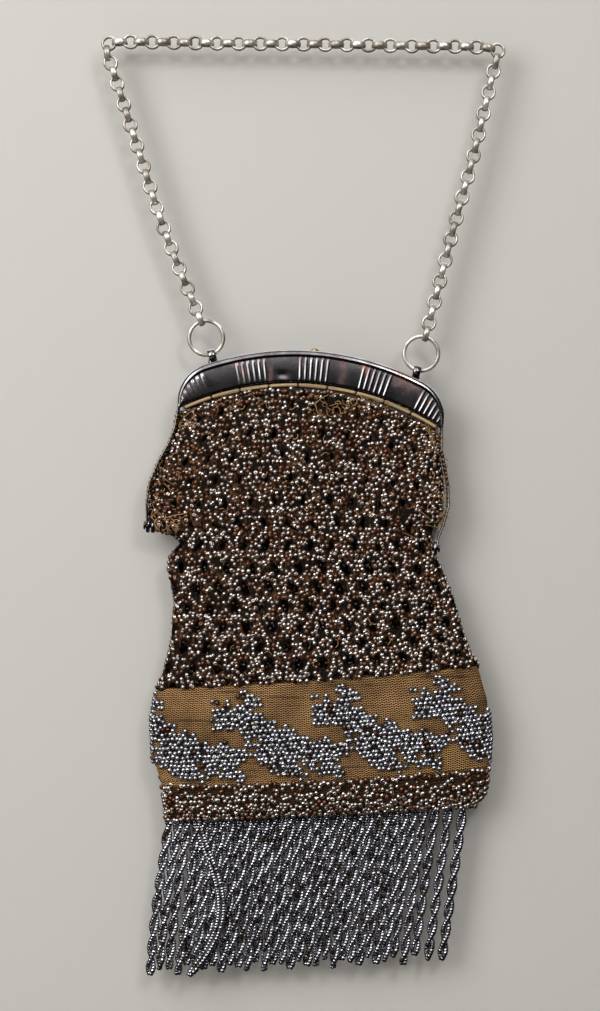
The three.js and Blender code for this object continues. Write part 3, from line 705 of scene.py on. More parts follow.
tan_cord, tan_tree, tan_shader = new_finish("tan_cord")
tan_fibre = add_noise(tan_tree, 2600.0, 2.0)
# The tan darkens to deep brown where the cord carries painted shade in its groove and notches.
tan_shade = add_math(tan_tree, "MULTIPLY_ADD", tan_fibre, 0.5, read_attribute(tan_tree, "groove"))
tan_shade = add_ramp(tan_tree, tan_shade, [(0.2, 0), (1, 1)])
tan_colour = add_colour_mix(tan_tree, tan_shade, screen_colour(166, 141, 104), screen_colour(40, 27, 15))
dress(tan_tree, tan_shader, tan_colour, tan_fibre, 0.5, 0.0002)
tan_shader.inputs["Roughness"].default_value = 0.85

for side, face in HALVES:
    (cord_points, cord_faces), cord_painted_shade = edge_cord(side)
    cord = add_mesh("sewn_cord_" + face, cord_points, outwards(cord_points, cord_faces))
    add_attribute(cord, "groove", cord_painted_shade)
    smooth_shaded(merged(cord)).data.materials.append(tan_cord)
    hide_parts("edge_cord_" + face)
    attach(cord, "root")


# Net of the pouch
# Brown silk is netted in the round in staggered open meshes. It hangs from the frame's lower edge
# in two flaps, and below the hinges it closes to a flat pouch that widens towards the band.
POUCH_ROWS = np.array([
    # drop, left, right, left height, right height, crown, half depth
    (0, -39.6, 45.0, -122.8, -129.4, 10.8, 5.3),
    (10, -43.2, 45.4, -132.7, -137.0, 6.5, 5.6),
    (24, -49.2, 46.6, -147.3, -148.0, 3.5, 6.0),
    (33, -50.4, 46.2, -156.5, -156.0, 2.0, 6.2),
    (38, -49.0, 43.4, -161.4, -161.2, 1.4, 6.3),
    (40, -42.0, 42.8, -163.4, -163.4, 1.0, 6.4),
    (43, -39.4, 42.6, -166.0, -166.2, 0.8, 6.5),
    (48, -43.6, 44.0, -171.0, -171.0, 0.5, 6.7),
    (52, -43.8, 46.2, -175.5, -175.2, 0.3, 6.8),
    (62, -41.6, 49.8, -185.3, -184.2, 0.0, 7.0),
    (76, -42.8, 53.2, -199.0, -196.2, -0.6, 7.1),
    (86, -45.2, 55.8, -209.0, -203.0, -0.8, 7.0),
    (92, -48.1, 58.7, -215.2, -207.5, -0.8, 7.0),
    (102, -49.7, 61.8, -225.0, -218.5, -1.0, 7.0),
    (115, -49.2, 62.7, -238.5, -231.0, -1.0, 6.7),
    (124, -46.5, 62.2, -246.6, -240.2, -1.2, 6.3),
    (130, -45.3, 61.2, -253.0, -249.0, -0.7, 5.0),
    (137, -45.0, 57.3, -258.8, -254.2, 0.0, 2.6),
])
SIDE_FULLNESS = 0.6
ROUNDING = 3
TABLE_STEP = 0.5
TABLE_MARGIN = 4
OVAL_STEPS = 2881
MEAN_HALF_WIDTH = 49
MEAN_HALF_DEPTH = 6.6
SLACK = 0.35
SLACK_WIDTH = 7.5
SLACK_SLANT = 11
SLACK_HEIGHT = 9
SLACK_PHASE = 1
AXIS_STEP_ROUND = 0.002
AXIS_STEP_DROP = 0.4
NET_TOP = 0
NET_BOTTOM = 92
MESHES_ROUND = 24
MESH_PHASE = 0.25
MESH_ROW_HEIGHT = 6.7
MESH_FIRST_ROW = 4.5
MESH_ROWS = 14
MESH_HALF_WIDTH = 1.45
MESH_HALF_HEIGHT = 2.3
MESH_OPENS_FROM = 30
MESH_OPENS_OVER = 20
MESH_UPPER_SHARE = 0.55
MESH_VARIES = (0.8, 1.12)
MESH_WANDER = 0.35
MESH_EDGE_POINTS = 3
MESH_RINGS = 2
HOLE_EDGE_SINK = 0.5
NET_UNDER_BEADS = 0.3
NET_THICKNESS = 0.7
NET_JOIN = 1e-5
NET_SEED = 11

table_drops = np.arange(POUCH_ROWS[0, 0] - TABLE_MARGIN, POUCH_ROWS[-1, 0] + TABLE_MARGIN, TABLE_STEP)
table_columns = []
for column in POUCH_ROWS[:, 1:].T:
    straight = np.interp(table_drops, POUCH_ROWS[:, 0], column)
    padded_ends = np.pad(straight, ROUNDING // 2, mode="edge")
    table_columns.append(np.convolve(padded_ends, np.ones(ROUNDING) / ROUNDING, mode="valid"))

oval_turn = np.linspace(0, 2 * np.pi, OVAL_STEPS)
oval_x = -MEAN_HALF_WIDTH * np.cos(oval_turn)
oval_y = -MEAN_HALF_DEPTH * signed_power(np.sin(oval_turn), SIDE_FULLNESS)
oval_steps = np.hypot(np.diff(oval_x), np.diff(oval_y))
oval_length = np.concatenate([[0], np.cumsum(oval_steps)])
POUCH_GIRTH = oval_length[-1]


def pouch_point(around, drop, lift=0.0):
    """A point of the pouch's outer face, in millimetres.

    around runs once round the flat oval by its length, from the left edge over the front to the
    right edge and back, and drop runs down the rows. The oval's size and place come from the rows,
    straight between them with rounded corners. lift moves the point outwards in depth."""
    turn = np.interp(np.mod(around, 1) * POUCH_GIRTH, oval_length, oval_turn)
    left, right, z_left, z_right, crown, depth = (
        np.interp(drop, table_drops, column) for column in table_columns
    )
    share = (1 - np.cos(turn)) / 2
    through = signed_power(np.sin(turn), SIDE_FULLNESS)
    x = left + (right - left) * share
    wave = x / SLACK_WIDTH + drop / SLACK_SLANT
    fold = drop / SLACK_HEIGHT + SLACK_PHASE
    slack = SLACK * np.sin(wave) * np.sin(fold) * np.sin(turn) ** 2
    y = -(depth + lift) * through + slack
    z = z_left + (z_right - z_left) * share + crown * np.sin(turn) ** 2
    return np.stack(np.broadcast_arrays(x, y, z), axis=-1)


def pouch_axes(around, drop):
    """Unit directions on the pouch: along the round, down the rows, and straight out."""
    along = pouch_point(around + AXIS_STEP_ROUND, drop) - pouch_point(around - AXIS_STEP_ROUND, drop)
    down = pouch_point(around, drop + AXIS_STEP_DROP) - pouch_point(around, drop - AXIS_STEP_DROP)
    along = unit(along)
    out = unit(np.cross(along, -down))
    return along, np.cross(along, out), out


# Each open mesh: its middle by round and drop, and its half width and half height in millimetres.
# Meshes are small and uneven above the hinges and open out below.
net_chance = np.random.default_rng(NET_SEED)
mesh_column, mesh_row = np.meshgrid(np.arange(MESHES_ROUND), np.arange(MESH_ROWS))
mesh_column = mesh_column.ravel()
mesh_row = mesh_row.ravel()
mesh_around = (mesh_column + MESH_PHASE + 0.5 * (mesh_row % 2)) / MESHES_ROUND
mesh_drop = MESH_FIRST_ROW + MESH_ROW_HEIGHT * mesh_row
mesh_share = np.clip((mesh_drop - MESH_OPENS_FROM) / MESH_OPENS_OVER, 0, 1)
mesh_open = MESH_UPPER_SHARE + (1 - MESH_UPPER_SHARE) * mesh_share
mesh_open = mesh_open * net_chance.uniform(*MESH_VARIES, mesh_open.shape)
mesh_half_width = MESH_HALF_WIDTH * mesh_open
mesh_half_height = MESH_HALF_HEIGHT * mesh_open
mesh_shift_x = net_chance.normal(0, MESH_WANDER, mesh_open.shape)
mesh_shift_z = net_chance.normal(0, MESH_WANDER, mesh_open.shape)


def net_ground():
    """The silk net: one six-sided cell for each mesh, drawn in rings from its hole to its border.

    The cells' borders meet their neighbours', half a pitch on in every second row."""
    pitch = POUCH_GIRTH / MESHES_ROUND
    tall = MESH_ROW_HEIGHT / 2 + pitch ** 2 / (8 * MESH_ROW_HEIGHT)
    low = MESH_ROW_HEIGHT - tall
    corners = np.array([
        (0, tall), (pitch / 2, low), (pitch / 2, -low), (0, -tall), (-pitch / 2, -low), (-pitch / 2, low),
    ])
    part = np.arange(MESH_EDGE_POINTS)[None, :, None] / MESH_EDGE_POINTS
    border = corners[:, None] + (np.roll(corners, -1, axis=0) - corners)[:, None] * part
    border = border.reshape(1, 1, -1, 2)
    turn = np.arctan2(border[..., 1], border[..., 0])
    hole_x = mesh_shift_x[:, None, None] + mesh_half_width[:, None, None] * np.cos(turn)
    hole_z = mesh_shift_z[:, None, None] + mesh_half_height[:, None, None] * np.sin(turn)
    hole = np.stack([hole_x, hole_z], axis=-1)
    ring = np.linspace(0, 1, MESH_RINGS + 1)[None, :, None, None]
    flat = hole + (border - hole) * ring
    around = mesh_around[:, None, None] + flat[..., 0] / POUCH_GIRTH
    drop = np.clip(mesh_drop[:, None, None] + flat[..., 1], NET_TOP, NET_BOTTOM)
    sunk = -HOLE_EDGE_SINK * (1 - ring[..., 0]) ** 2
    points = pouch_point(around, drop, sunk - NET_UNDER_BEADS)
    count = border.shape[2]
    cell = grid_faces(MESH_RINGS + 1, count, closed_columns=True)
    starts = np.arange(len(mesh_around))[:, None, None] * (MESH_RINGS + 1) * count
    return points.reshape(-1, 3), (cell[None] + starts).reshape(-1, 4)


def add_wall(obj, thickness):
    """Gives a cloth surface its thickness, inwards from its outer face."""
    wall = obj.modifiers.new("wall", "SOLIDIFY")
    wall.thickness = thickness * MM
    wall.offset = -1
    return obj


brown_silk, brown_tree, brown_shader = new_finish("brown_silk")
brown_fibre = add_noise(brown_tree, 1300.0, 3.0, (1, 1, 0.6))
brown_shade = add_math(brown_tree, "MULTIPLY_ADD", add_noise(brown_tree, 160.0, 2.0), 0.5, brown_fibre)
brown_shade = add_ramp(brown_tree, brown_shade, [(0.47, 0), (0.72, 1)])
brown_colour = add_colour_mix(brown_tree, brown_shade, screen_colour(98, 64, 35), screen_colour(15, 9, 6))
dress(brown_tree, brown_shader, brown_colour, brown_fibre, 0.7, 0.0004)
brown_shader.inputs["Roughness"].default_value = 0.85
brown_shader.inputs["Specular IOR Level"].default_value = 0.1

net_ground_piece = add_mesh("net_silk", *net_ground())
smooth_shaded(merged(net_ground_piece, NET_JOIN)).data.materials.append(brown_silk)
add_wall(net_ground_piece, NET_THICKNESS)
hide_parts("net_body")
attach(net_ground_piece, "root")


# Beads of the net
# Cut steel beads are caught in the silk as it is netted, close together round every open mesh.
# Most are bright or dull steel, some have rusted brown, and here and there one shows its hole.
BEAD_RADIUS = 0.82
BEAD_LENGTH = 1.46
BEAD_HOLE = 0.3
BEAD_BELLY = 0.5
BEAD_SIDES = 6
BEADS_ROUND = 130
BEAD_ROW_HEIGHT = 1.48
BEAD_TOP_ROOM = 0.6
BEAD_FOOT_ROOM = 0.4
BEAD_JITTER = 0.26
BEAD_STAND = 0.3
BEAD_SWING = 0.6
BEAD_TIP = 0.35
BEAD_FACING = 0.1
FACING_LEAN = 0.35
BEAD_MESH_MARGIN = 0.3
BEAD_KEPT = 0.92
BEAD_SIZES = (0.86, 1.08)
BEAD_TONES = (1.3, 1.3)
TONE_POWER_TOP = 1.1
TONE_POWER_FALL = 0.5
RUST_TOP = 0.32
RUST_FALL = 0.12
RUST_DEPTHS = (0.5, 1)
# The sagging wing at the left has rusted most: its middle and half size
WING_RUST = 0.4
WING_X = -42
WING_Z = -148
WING_HALF_WIDTH = 12
WING_HALF_HEIGHT = 16
BEAD_SEED = 23
BARE_PATCHES = np.array([
    # x, z, half width, half height
    (9.5, -120.3, 5.0, 2.6),
    (34.0, -155.5, 3.2, 1.8),
])
TO_RIGHT = np.array([1.0, 0.0, 0.0])
UPWARDS = np.array([0.0, 0.0, 1.0])
NEARLY_BACK = 0.8


def bead_shape(radius, length, hole, belly, sides):
    """A barrel bead with a hole: a closed profile of four rows turned round its own axis.

    The belly is the share of its length over which the bead keeps its full radius."""
    profile = np.array([
        (hole, -length / 2),
        (radius, -belly * length / 2),
        (radius, belly * length / 2),
        (hole, length / 2),
    ])
    points, faces = turned(profile, np.zeros(3), UPWARDS, TO_RIGHT, sides)
    return points, outwards(points, faces)


def bead_string(name, shape, centres, axes, rolls, sizes, tones, rusts):
    """Copies of one bead, each with its own place, axis, roll about the axis, size and finish."""
    points, faces = shape
    helper = np.where(np.abs(axes[:, 1:2]) > NEARLY_BACK, TO_RIGHT, TO_BACK)
    first = unit(np.cross(helper, axes))
    second = np.cross(axes, first)
    cos = np.cos(rolls)[:, None]
    sin = np.sin(rolls)[:, None]
    across = cos * first + sin * second
    over = cos * second - sin * first
    spread = points[None, :, :1] * across[:, None] + points[None, :, 1:2] * over[:, None]
    spread = spread + points[None, :, 2:] * axes[:, None]
    placed = centres[:, None] + spread * sizes[:, None, None]
    starts = np.arange(len(centres))[:, None, None] * len(points)
    obj = add_mesh(name, placed.reshape(-1, 3), (faces[None] + starts).reshape(-1, 4))
    add_attribute(obj, "tone", np.repeat(tones, len(points)))
    add_attribute(obj, "rust", np.repeat(rusts, len(points)))
    return smooth_shaded(obj)


def bead_group():
    """Cut steel beads: each bead's tone runs from dull to clean, and its rust covers both."""
    inputs = {"Clean": COLOUR, "Dull": COLOUR, "Rust": COLOUR, "Satin": VALUE, "Body": VALUE}
    outputs = {"Colour": COLOUR, "Roughness": VALUE, "Metallic": VALUE}
    tree, given, made = new_group("cut_steel", inputs, outputs)
    tone = read_attribute(tree, "tone")
    rust = read_attribute(tree, "rust")
    grime = add_noise(tree, 1500.0, 2.0)
    rusted = add_math(tree, "MULTIPLY_ADD", grime, 0.5, rust)
    rusted = add_ramp(tree, rusted, [(0.5, 0), (0.85, 1)])
    colour = add_colour_mix(tree, tone, given["Dull"], given["Clean"])
    colour = add_colour_mix(tree, rusted, colour, given["Rust"])
    rough = add_math(tree, "MULTIPLY_ADD", tone, -0.1, given["Satin"])
    rough = add_math(tree, "MULTIPLY_ADD", rusted, 0.08, rough)
    matt = add_math(tree, "SUBTRACT", add_math(tree, "ADD", rusted, 1), tone)
    metal = add_math(tree, "SUBTRACT", 1, add_math(tree, "MULTIPLY", matt, given["Body"]))
    tree.links.new(colour, made["Colour"])
    tree.links.new(rough, made["Roughness"])
    tree.links.new(metal, made["Metallic"])
    return tree


CUT_STEEL = bead_group()


def bead_finish(name, clean, dull, rust, satin, body):
    """A bead finish in screen colours that reads each bead's tone and rust through the shared group.

    The body is the share of matt colour that a dull bead shows outside its glints."""
    material, tree, shader = new_finish(name)
    inputs = {
        "Clean": screen_colour(*clean),
        "Dull": screen_colour(*dull),
        "Rust": screen_colour(*rust),
        "Satin": satin,
        "Body": body,
    }
    group = add_node(tree, "ShaderNodeGroup", inputs, node_tree=CUT_STEEL)
    tree.links.new(group.outputs["Colour"], shader.inputs["Base Color"])
    tree.links.new(group.outputs["Roughness"], shader.inputs["Roughness"])
    tree.links.new(group.outputs["Metallic"], shader.inputs["Metallic"])
    return material


def lying_axes(around, drop, chance, facing_share):
    """Axes of beads on the pouch: mostly along the rows, swung a little, and a share faces outwards."""
    along, down, out = pouch_axes(around, drop)
    swing = chance.normal(0, BEAD_SWING, around.shape)[:, None]
    tip = chance.normal(0, BEAD_TIP, around.shape)[:, None]
    axes = np.cos(swing) * along + np.sin(swing) * down + tip * out
    facing = chance.random(around.shape)[:, None] < facing_share
    return unit(np.where(facing, out + FACING_LEAN * axes, axes)), out


def on_open_mesh(around, drop, margin):
    """True where a place lies over one of the net's open meshes, or within a margin of it."""
    width = (around[:, None] - mesh_around[None] + 0.5) % 1 - 0.5
    width = (width * POUCH_GIRTH - mesh_shift_x[None]) / (mesh_half_width[None] + margin)
    height = (drop[:, None] - mesh_drop[None] - mesh_shift_z[None]) / (mesh_half_height[None] + margin)
    return (width ** 2 + height ** 2 < 1).any(axis=1)


def bead_rows(first_drop, last_drop, row_height, count, chance, jitter):
    """Places in staggered rows round the pouch, each moved a little by chance."""
    drops = np.arange(first_drop, last_drop, row_height)
    column, row = np.meshgrid(np.arange(count), np.arange(len(drops)))
    around = (column + 0.5 * (row % 2) + chance.normal(0, jitter, column.shape)) / count
    drop = drops[row] + chance.normal(0, jitter * row_height, column.shape)
    return around.ravel() % 1, drop.ravel()


NET_BEAD = bead_shape(BEAD_RADIUS, BEAD_LENGTH, BEAD_HOLE, BEAD_BELLY, BEAD_SIDES)
net_steel = bead_finish("net_steel", (214, 205, 197), (126, 107, 95), (112, 78, 58), 0.37, 0.1)
bead_chance = np.random.default_rng(BEAD_SEED)
bead_around, bead_drop = bead_rows(
    BEAD_TOP_ROOM, NET_BOTTOM - BEAD_FOOT_ROOM, BEAD_ROW_HEIGHT, BEADS_ROUND, bead_chance, BEAD_JITTER
)
bead_place = pouch_point(bead_around, bead_drop)
bare_x = (bead_place[:, None, 0] - BARE_PATCHES[None, :, 0]) / BARE_PATCHES[None, :, 2]
bare_z = (bead_place[:, None, 2] - BARE_PATCHES[None, :, 1]) / BARE_PATCHES[None, :, 3]
bead_stays = bead_chance.random(bead_around.shape) < BEAD_KEPT
bead_stays &= ~on_open_mesh(bead_around, bead_drop, BEAD_MESH_MARGIN)
bead_stays &= ~((bare_x ** 2 + bare_z ** 2 < 1).any(axis=1) & (bead_around < 0.5))
for face, from_round, to_round in (("front", 0, 0.5), ("back", 0.5, 1)):
    chosen = bead_stays & (bead_around >= from_round) & (bead_around < to_round)
    around = bead_around[chosen]
    drop = bead_drop[chosen]
    axes, out = lying_axes(around, drop, bead_chance, BEAD_FACING)
    centres = pouch_point(around, drop) + BEAD_STAND * out
    count = len(around)
    wing_x = (centres[:, 0] - WING_X) / WING_HALF_WIDTH
    wing_z = (centres[:, 2] - WING_Z) / WING_HALF_HEIGHT
    wing = np.exp(-wing_x ** 2 - wing_z ** 2)
    rust_share = RUST_TOP - RUST_FALL * drop / NET_BOTTOM + WING_RUST * wing
    rusts = np.where(bead_chance.random(count) < rust_share, bead_chance.uniform(*RUST_DEPTHS, count), 0)
    tones = bead_chance.beta(*BEAD_TONES, count) ** (TONE_POWER_TOP - TONE_POWER_FALL * drop / NET_BOTTOM)
    sizes = bead_chance.uniform(*BEAD_SIZES, count)
    rolls = bead_chance.uniform(0, 2 * np.pi, count)
    beads = bead_string("net_beads_" + face, NET_BEAD, centres, axes, rolls, sizes, tones, rusts)
    beads.data.materials.append(net_steel)
    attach(beads, "root")


# Sewing on the arms
# Tan thread is wound over each arm from the shoulder down to the hinge, and holds the net's edge.
# Its turns lie unevenly, and the thread has faded more on some arms than on others.
WRAP_PITCH = 1.5
WRAP_RADIUS = 0.17
WRAP_STEPS = 10
WRAP_FROM_V = -1
WRAP_TO_V = -33
WRAP_NEAR = 0.3
WRAP_WANDER = 0.18
THREAD_SIDES = 4
THREAD_START = np.array([0.31, 0.83, 0.46])
WRAP_SEED = 29


def thread_tube(path, radius):
    """A thin round thread along a path of points, in millimetres, its corners set by a start direction."""
    along = unit(np.gradient(path, axis=0))
    first = unit(np.cross(along, THREAD_START))
    second = np.cross(along, first)
    angle = full_turn(THREAD_SIDES)[None, :, None]
    around = np.cos(angle) * first[:, None] + np.sin(angle) * second[:, None]
    return lofted(path[:, None] + radius * around)


def thread_fade(paths, chance):
    """How pale each thread is, by chance, given again for every point of its tube."""
    points = [(len(path) + 2) * THREAD_SIDES for path in paths]
    return np.repeat(chance.random(len(paths)), points)


def arm_wrap(side, column, chance):
    """Thread wound round one arm: an oval turn about the arm's section for each step down it."""
    turns = (WRAP_FROM_V - WRAP_TO_V) / WRAP_PITCH
    turn = np.arange(0, turns, 1 / WRAP_STEPS)
    v = WRAP_FROM_V - turn * WRAP_PITCH + chance.normal(0, WRAP_WANDER, turn.shape)
    arm_middle = arm_edge(v, column) + ARM_INWARDS[column] * ARM_THICKNESS / 2
    u = arm_middle + (ARM_THICKNESS / 2 + WRAP_RADIUS) * np.cos(2 * np.pi * turn)
    middle = (ARM_DEPTH + WRAP_RADIUS + WRAP_NEAR) / 2
    y = side * (middle + (middle - WRAP_NEAR) * np.sin(2 * np.pi * turn))
    return frame_point(u, v, y)


tan_silk, silk_tree, silk_shader = new_finish("tan_silk")
silk_fibre = add_noise(silk_tree, 2400.0, 2.0)
silk_fade = add_math(silk_tree, "MULTIPLY", read_attribute(silk_tree, "fade"), 0.7)
silk_shade = add_math(silk_tree, "MULTIPLY_ADD", silk_fibre, 0.5, silk_fade)
silk_colour = add_colour_mix(silk_tree, silk_shade, screen_colour(74, 45, 20), screen_colour(176, 138, 88))
dress(silk_tree, silk_shader, silk_colour, silk_fibre, 0.5, 0.0002)
silk_shader.inputs["Roughness"].default_value = 0.8

wrap_chance = np.random.default_rng(WRAP_SEED)
wrap_paths = [arm_wrap(side, column, wrap_chance) for side in (-1, 1) for column in (1, 2)]
wraps = add_mesh("arm_stitching", *together([thread_tube(path, WRAP_RADIUS) for path in wrap_paths]))
add_attribute(wraps, "fade", thread_fade(wrap_paths, wrap_chance))
smooth_shaded(merged(wraps)).data.materials.append(tan_silk)
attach(wraps, "root")


# Knitted band
# A fine golden-brown knit follows the net, made in the round in one piece with it. The stitches
# stand in upright columns of small slanted legs, with a darker row here and there. The hollows
# between the stitches are painted dark as painted shade.
BAND_TOP = 91.4
BAND_BOTTOM = 124.6
BAND_COLUMNS = 240
BAND_ROWS = 46
BAND_THICKNESS = 1.2
BAND_LIFT = 0.1
BAND_WIDER = 1.14
STITCH_WIDTH = 1.5
STITCH_HEIGHT = 0.74


def pouch_sheet(name, top, bottom, columns, rows, lift):
    """A round of cloth on the pouch between two drops, with stitch columns and rows as its UV map."""
    around, drop = np.meshgrid(np.arange(columns) / columns, np.linspace(top, bottom, rows))
    points = pouch_point(around, drop, lift).reshape(-1, 3)
    faces = grid_faces(rows, columns, closed_columns=True)[:, ::-1]
    obj = smooth_shaded(add_mesh(name, points, faces))
    column = faces % columns
    column = np.where((column == 0) & (column.max(axis=1, keepdims=True) == columns - 1), columns, column)
    stitches = np.round(POUCH_GIRTH * BAND_WIDER / STITCH_WIDTH)
    u = column / columns * stitches
    v = np.linspace(top, bottom, rows)[faces // columns] / STITCH_HEIGHT
    layer = obj.data.uv_layers.new(name="stitches")
    layer.data.foreach_set("uv", np.stack([u, v], axis=-1).astype(np.float32).ravel())
    return obj


def knit_group():
    """Plain knit by stitch column and row: two legs slant from each column's edges to its middle.

    Height is full along the legs and across them, and falls to a small hollow at each crossing of
    the lines between, so that the hollows stand in staggered rows. The hollows are given out for
    painted shade."""
    tree, _, made = new_group("plain_knit", {}, {"Painted Hollow Shade": VALUE, "Height": VALUE})
    place = add_node(tree, "ShaderNodeUVMap", {}, uv_map="stitches").outputs["UV"]
    split = add_node(tree, "ShaderNodeSeparateXYZ", {"Vector": place})
    across = add_math(tree, "FRACT", split.outputs["X"])
    from_middle = add_math(tree, "ABSOLUTE", add_math(tree, "SUBTRACT", across, 0.5))
    slanted = add_math(tree, "ADD", from_middle, split.outputs["Y"])
    ridge = add_math(tree, "ABSOLUTE", add_math(tree, "SINE", add_math(tree, "MULTIPLY", slanted, np.pi)))
    from_leg = add_math(tree, "ABSOLUTE", add_math(tree, "SUBTRACT", from_middle, 0.25))
    leg = add_math(tree, "SUBTRACT", 1.0, add_math(tree, "MULTIPLY", from_leg, 4.0))
    height = add_math(tree, "MAXIMUM", ridge, leg)
    hollow = add_ramp(tree, height, [(0.75, 1), (0.96, 0)])
    tree.links.new(hollow, made["Painted Hollow Shade"])
    tree.links.new(height, made["Height"])
    return tree


PLAIN_KNIT = knit_group()


def knit_finish(name, light, deep, worn):
    """A knit finish in screen colours: stitch hollows darkened as painted shade, darker rows and
    faded clouds.

    It is also darker where the cloth carries a shade attribute, which is painted shade too."""
    material, tree, shader = new_finish(name)
    group = add_node(tree, "ShaderNodeGroup", {}, node_tree=PLAIN_KNIT)
    cloud = add_ramp(tree, add_noise(tree, 90.0, 4.0), [(0.35, 0), (0.7, 1)])
    streak = add_ramp(tree, add_noise(tree, 300.0, 3.0, (0.1, 0.1, 3.0)), [(0.58, 0), (0.68, 0.75)])
    # Painted shade: the stitch hollows, and the shade attribute below, darken the knit to its deep colour
    hollow = add_math(tree, "MAXIMUM", group.outputs["Painted Hollow Shade"], streak)
    hollow = add_math(tree, "MAXIMUM", hollow, read_attribute(tree, "shade"))
    colour = add_colour_mix(tree, cloud, screen_colour(*light), screen_colour(*worn))
    colour = add_colour_mix(tree, hollow, colour, screen_colour(*deep))
    dress(tree, shader, colour, group.outputs["Height"], 0.8, 0.0003)
    shader.inputs["Roughness"].default_value = 0.85
    shader.inputs["Specular IOR Level"].default_value = 0.15
    return material


golden_knit = knit_finish("golden_knit", (184, 141, 92), (11, 7, 4), (126, 94, 58))
band = pouch_sheet("band_knit_cloth", BAND_TOP, BAND_BOTTOM, BAND_COLUMNS, BAND_ROWS, BAND_LIFT)
band.data.materials.append(golden_knit)
add_wall(band, BAND_THICKNESS)
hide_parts("knit_band")
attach(band, "root")


# Leaf vine on the band
# Steel beads knitted into the band draw a trailing vine: a three-lobed leaf at the top of each
# repeat, a thick stem down to the right, and two leaves that reach on to the next repeat. The knit
# under the beads is painted darker as painted shade.
VINE_CHART = [
    "......##..............",
    ".....####.............",
    "##.#...####...........",
    "..##.######...........",
    "#########.............",
    "###########...........",
    "############..........",
    "##############........",
    "##############..#.....",
    "......############....",
    ".......############...",
    ".##....#..###########.",
    "####...###############",
    "#######..#############",
    "######################",
    "#######..#############",
    "######....########.###",
    ".###.......#######.###",
    "######......#######.##",
    "######.......#######..",
    "....##............#...",
]
VINE_REPEATS = 7
VINE_START_X = -29.2
VINE_START_DROP = 100
VINE_TOP = 93.6
VINE_ROW_HEIGHT = 1.47
# How dark the painted shade under the vine's beads is
VINE_PAINTED_SHADE = 0.92
VINE_JITTER = 0.13
VINE_KEPT = 0.985
VINE_STAND = 0.35
VINE_FACING = 0.05
VINE_SIZES = (0.98, 1.12)
VINE_TONES = (3.0, 1.3)
VINE_RUST = (0.05, 0.8)
FRONT_STEPS = 801
VINE_SEED = 37


def pouch_beads(name, around, drop, stand, facing_share, sizes, tones, rust, chance):
    """Beads that lie on the pouch and stand a little proud of it.

    Their sizes lie in a range, their tones follow a beta curve, and a share of them is rusted."""
    axes, out = lying_axes(around, drop, chance, facing_share)
    count = len(around)
    rusted_share, rusted_depth = rust
    return bead_string(
        name,
        NET_BEAD,
        pouch_point(around, drop) + stand * out,
        axes,
        chance.uniform(0, 2 * np.pi, count),
        chance.uniform(*sizes, count),
        chance.beta(*tones, count),
        np.where(chance.random(count) < rusted_share, rusted_depth, 0),
    )


vine_chance = np.random.default_rng(VINE_SEED)
chart = np.array([[mark == "#" for mark in line] for line in VINE_CHART])
chart_row, chart_column = np.nonzero(chart)
front_rounds = np.linspace(0, 0.5, FRONT_STEPS)
front_x = pouch_point(front_rounds, VINE_START_DROP + 0 * front_rounds)[:, 0]
vine_start = np.interp(VINE_START_X, front_x, front_rounds)
columns_round = VINE_REPEATS * chart.shape[1]
repeat = np.repeat(np.arange(VINE_REPEATS), len(chart_row))
vine_row = np.tile(chart_row, VINE_REPEATS)
vine_column = np.tile(chart_column, VINE_REPEATS) + repeat * chart.shape[1] + 0.5 * (vine_row % 2)
vine_jitter = vine_chance.normal(0, VINE_JITTER, (2, len(vine_row)))
vine_around = (vine_start + (vine_column + vine_jitter[0]) / columns_round) % 1
vine_drop = VINE_TOP + (vine_row + vine_jitter[1]) * VINE_ROW_HEIGHT
vine_stays = vine_chance.random(len(vine_row)) < VINE_KEPT
band_steel = bead_finish("band_steel", (200, 200, 204), (80, 80, 84), (88, 62, 46), 0.38, 0.08)
vine = pouch_beads(
    "vine_beads",
    vine_around[vine_stays],
    vine_drop[vine_stays],
    VINE_STAND,
    VINE_FACING,
    VINE_SIZES,
    VINE_TONES,
    VINE_RUST,
    vine_chance,
)
vine.data.materials.append(band_steel)
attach(vine, "root")


def painted_shade_under_vine(around, drop):
    """How much painted shade falls on the knit: the share of the four chart marks round a place."""
    marks = 0
    for off_row, off_column in ((-0.5, -0.5), (-0.5, 0.5), (0.5, -0.5), (0.5, 0.5)):
        row = np.round((drop - VINE_TOP) / VINE_ROW_HEIGHT + off_row).astype(int)
        column = (around - vine_start) * columns_round - 0.5 * (row % 2) + off_column
        column = np.round(column).astype(int) % chart.shape[1]
        on_chart = (row >= 0) & (row < len(chart))
        marks = marks + chart[np.clip(row, 0, len(chart) - 1), column] * on_chart
    return marks / 4


# The knit under the vine's beads carries painted shade, darker where more beads lie close.
band_around, band_drop = np.meshgrid(
    np.arange(BAND_COLUMNS) / BAND_COLUMNS, np.linspace(BAND_TOP, BAND_BOTTOM, BAND_ROWS)
)
add_attribute(band, "shade", VINE_PAINTED_SHADE * painted_shade_under_vine(band_around, band_drop) ** 2)


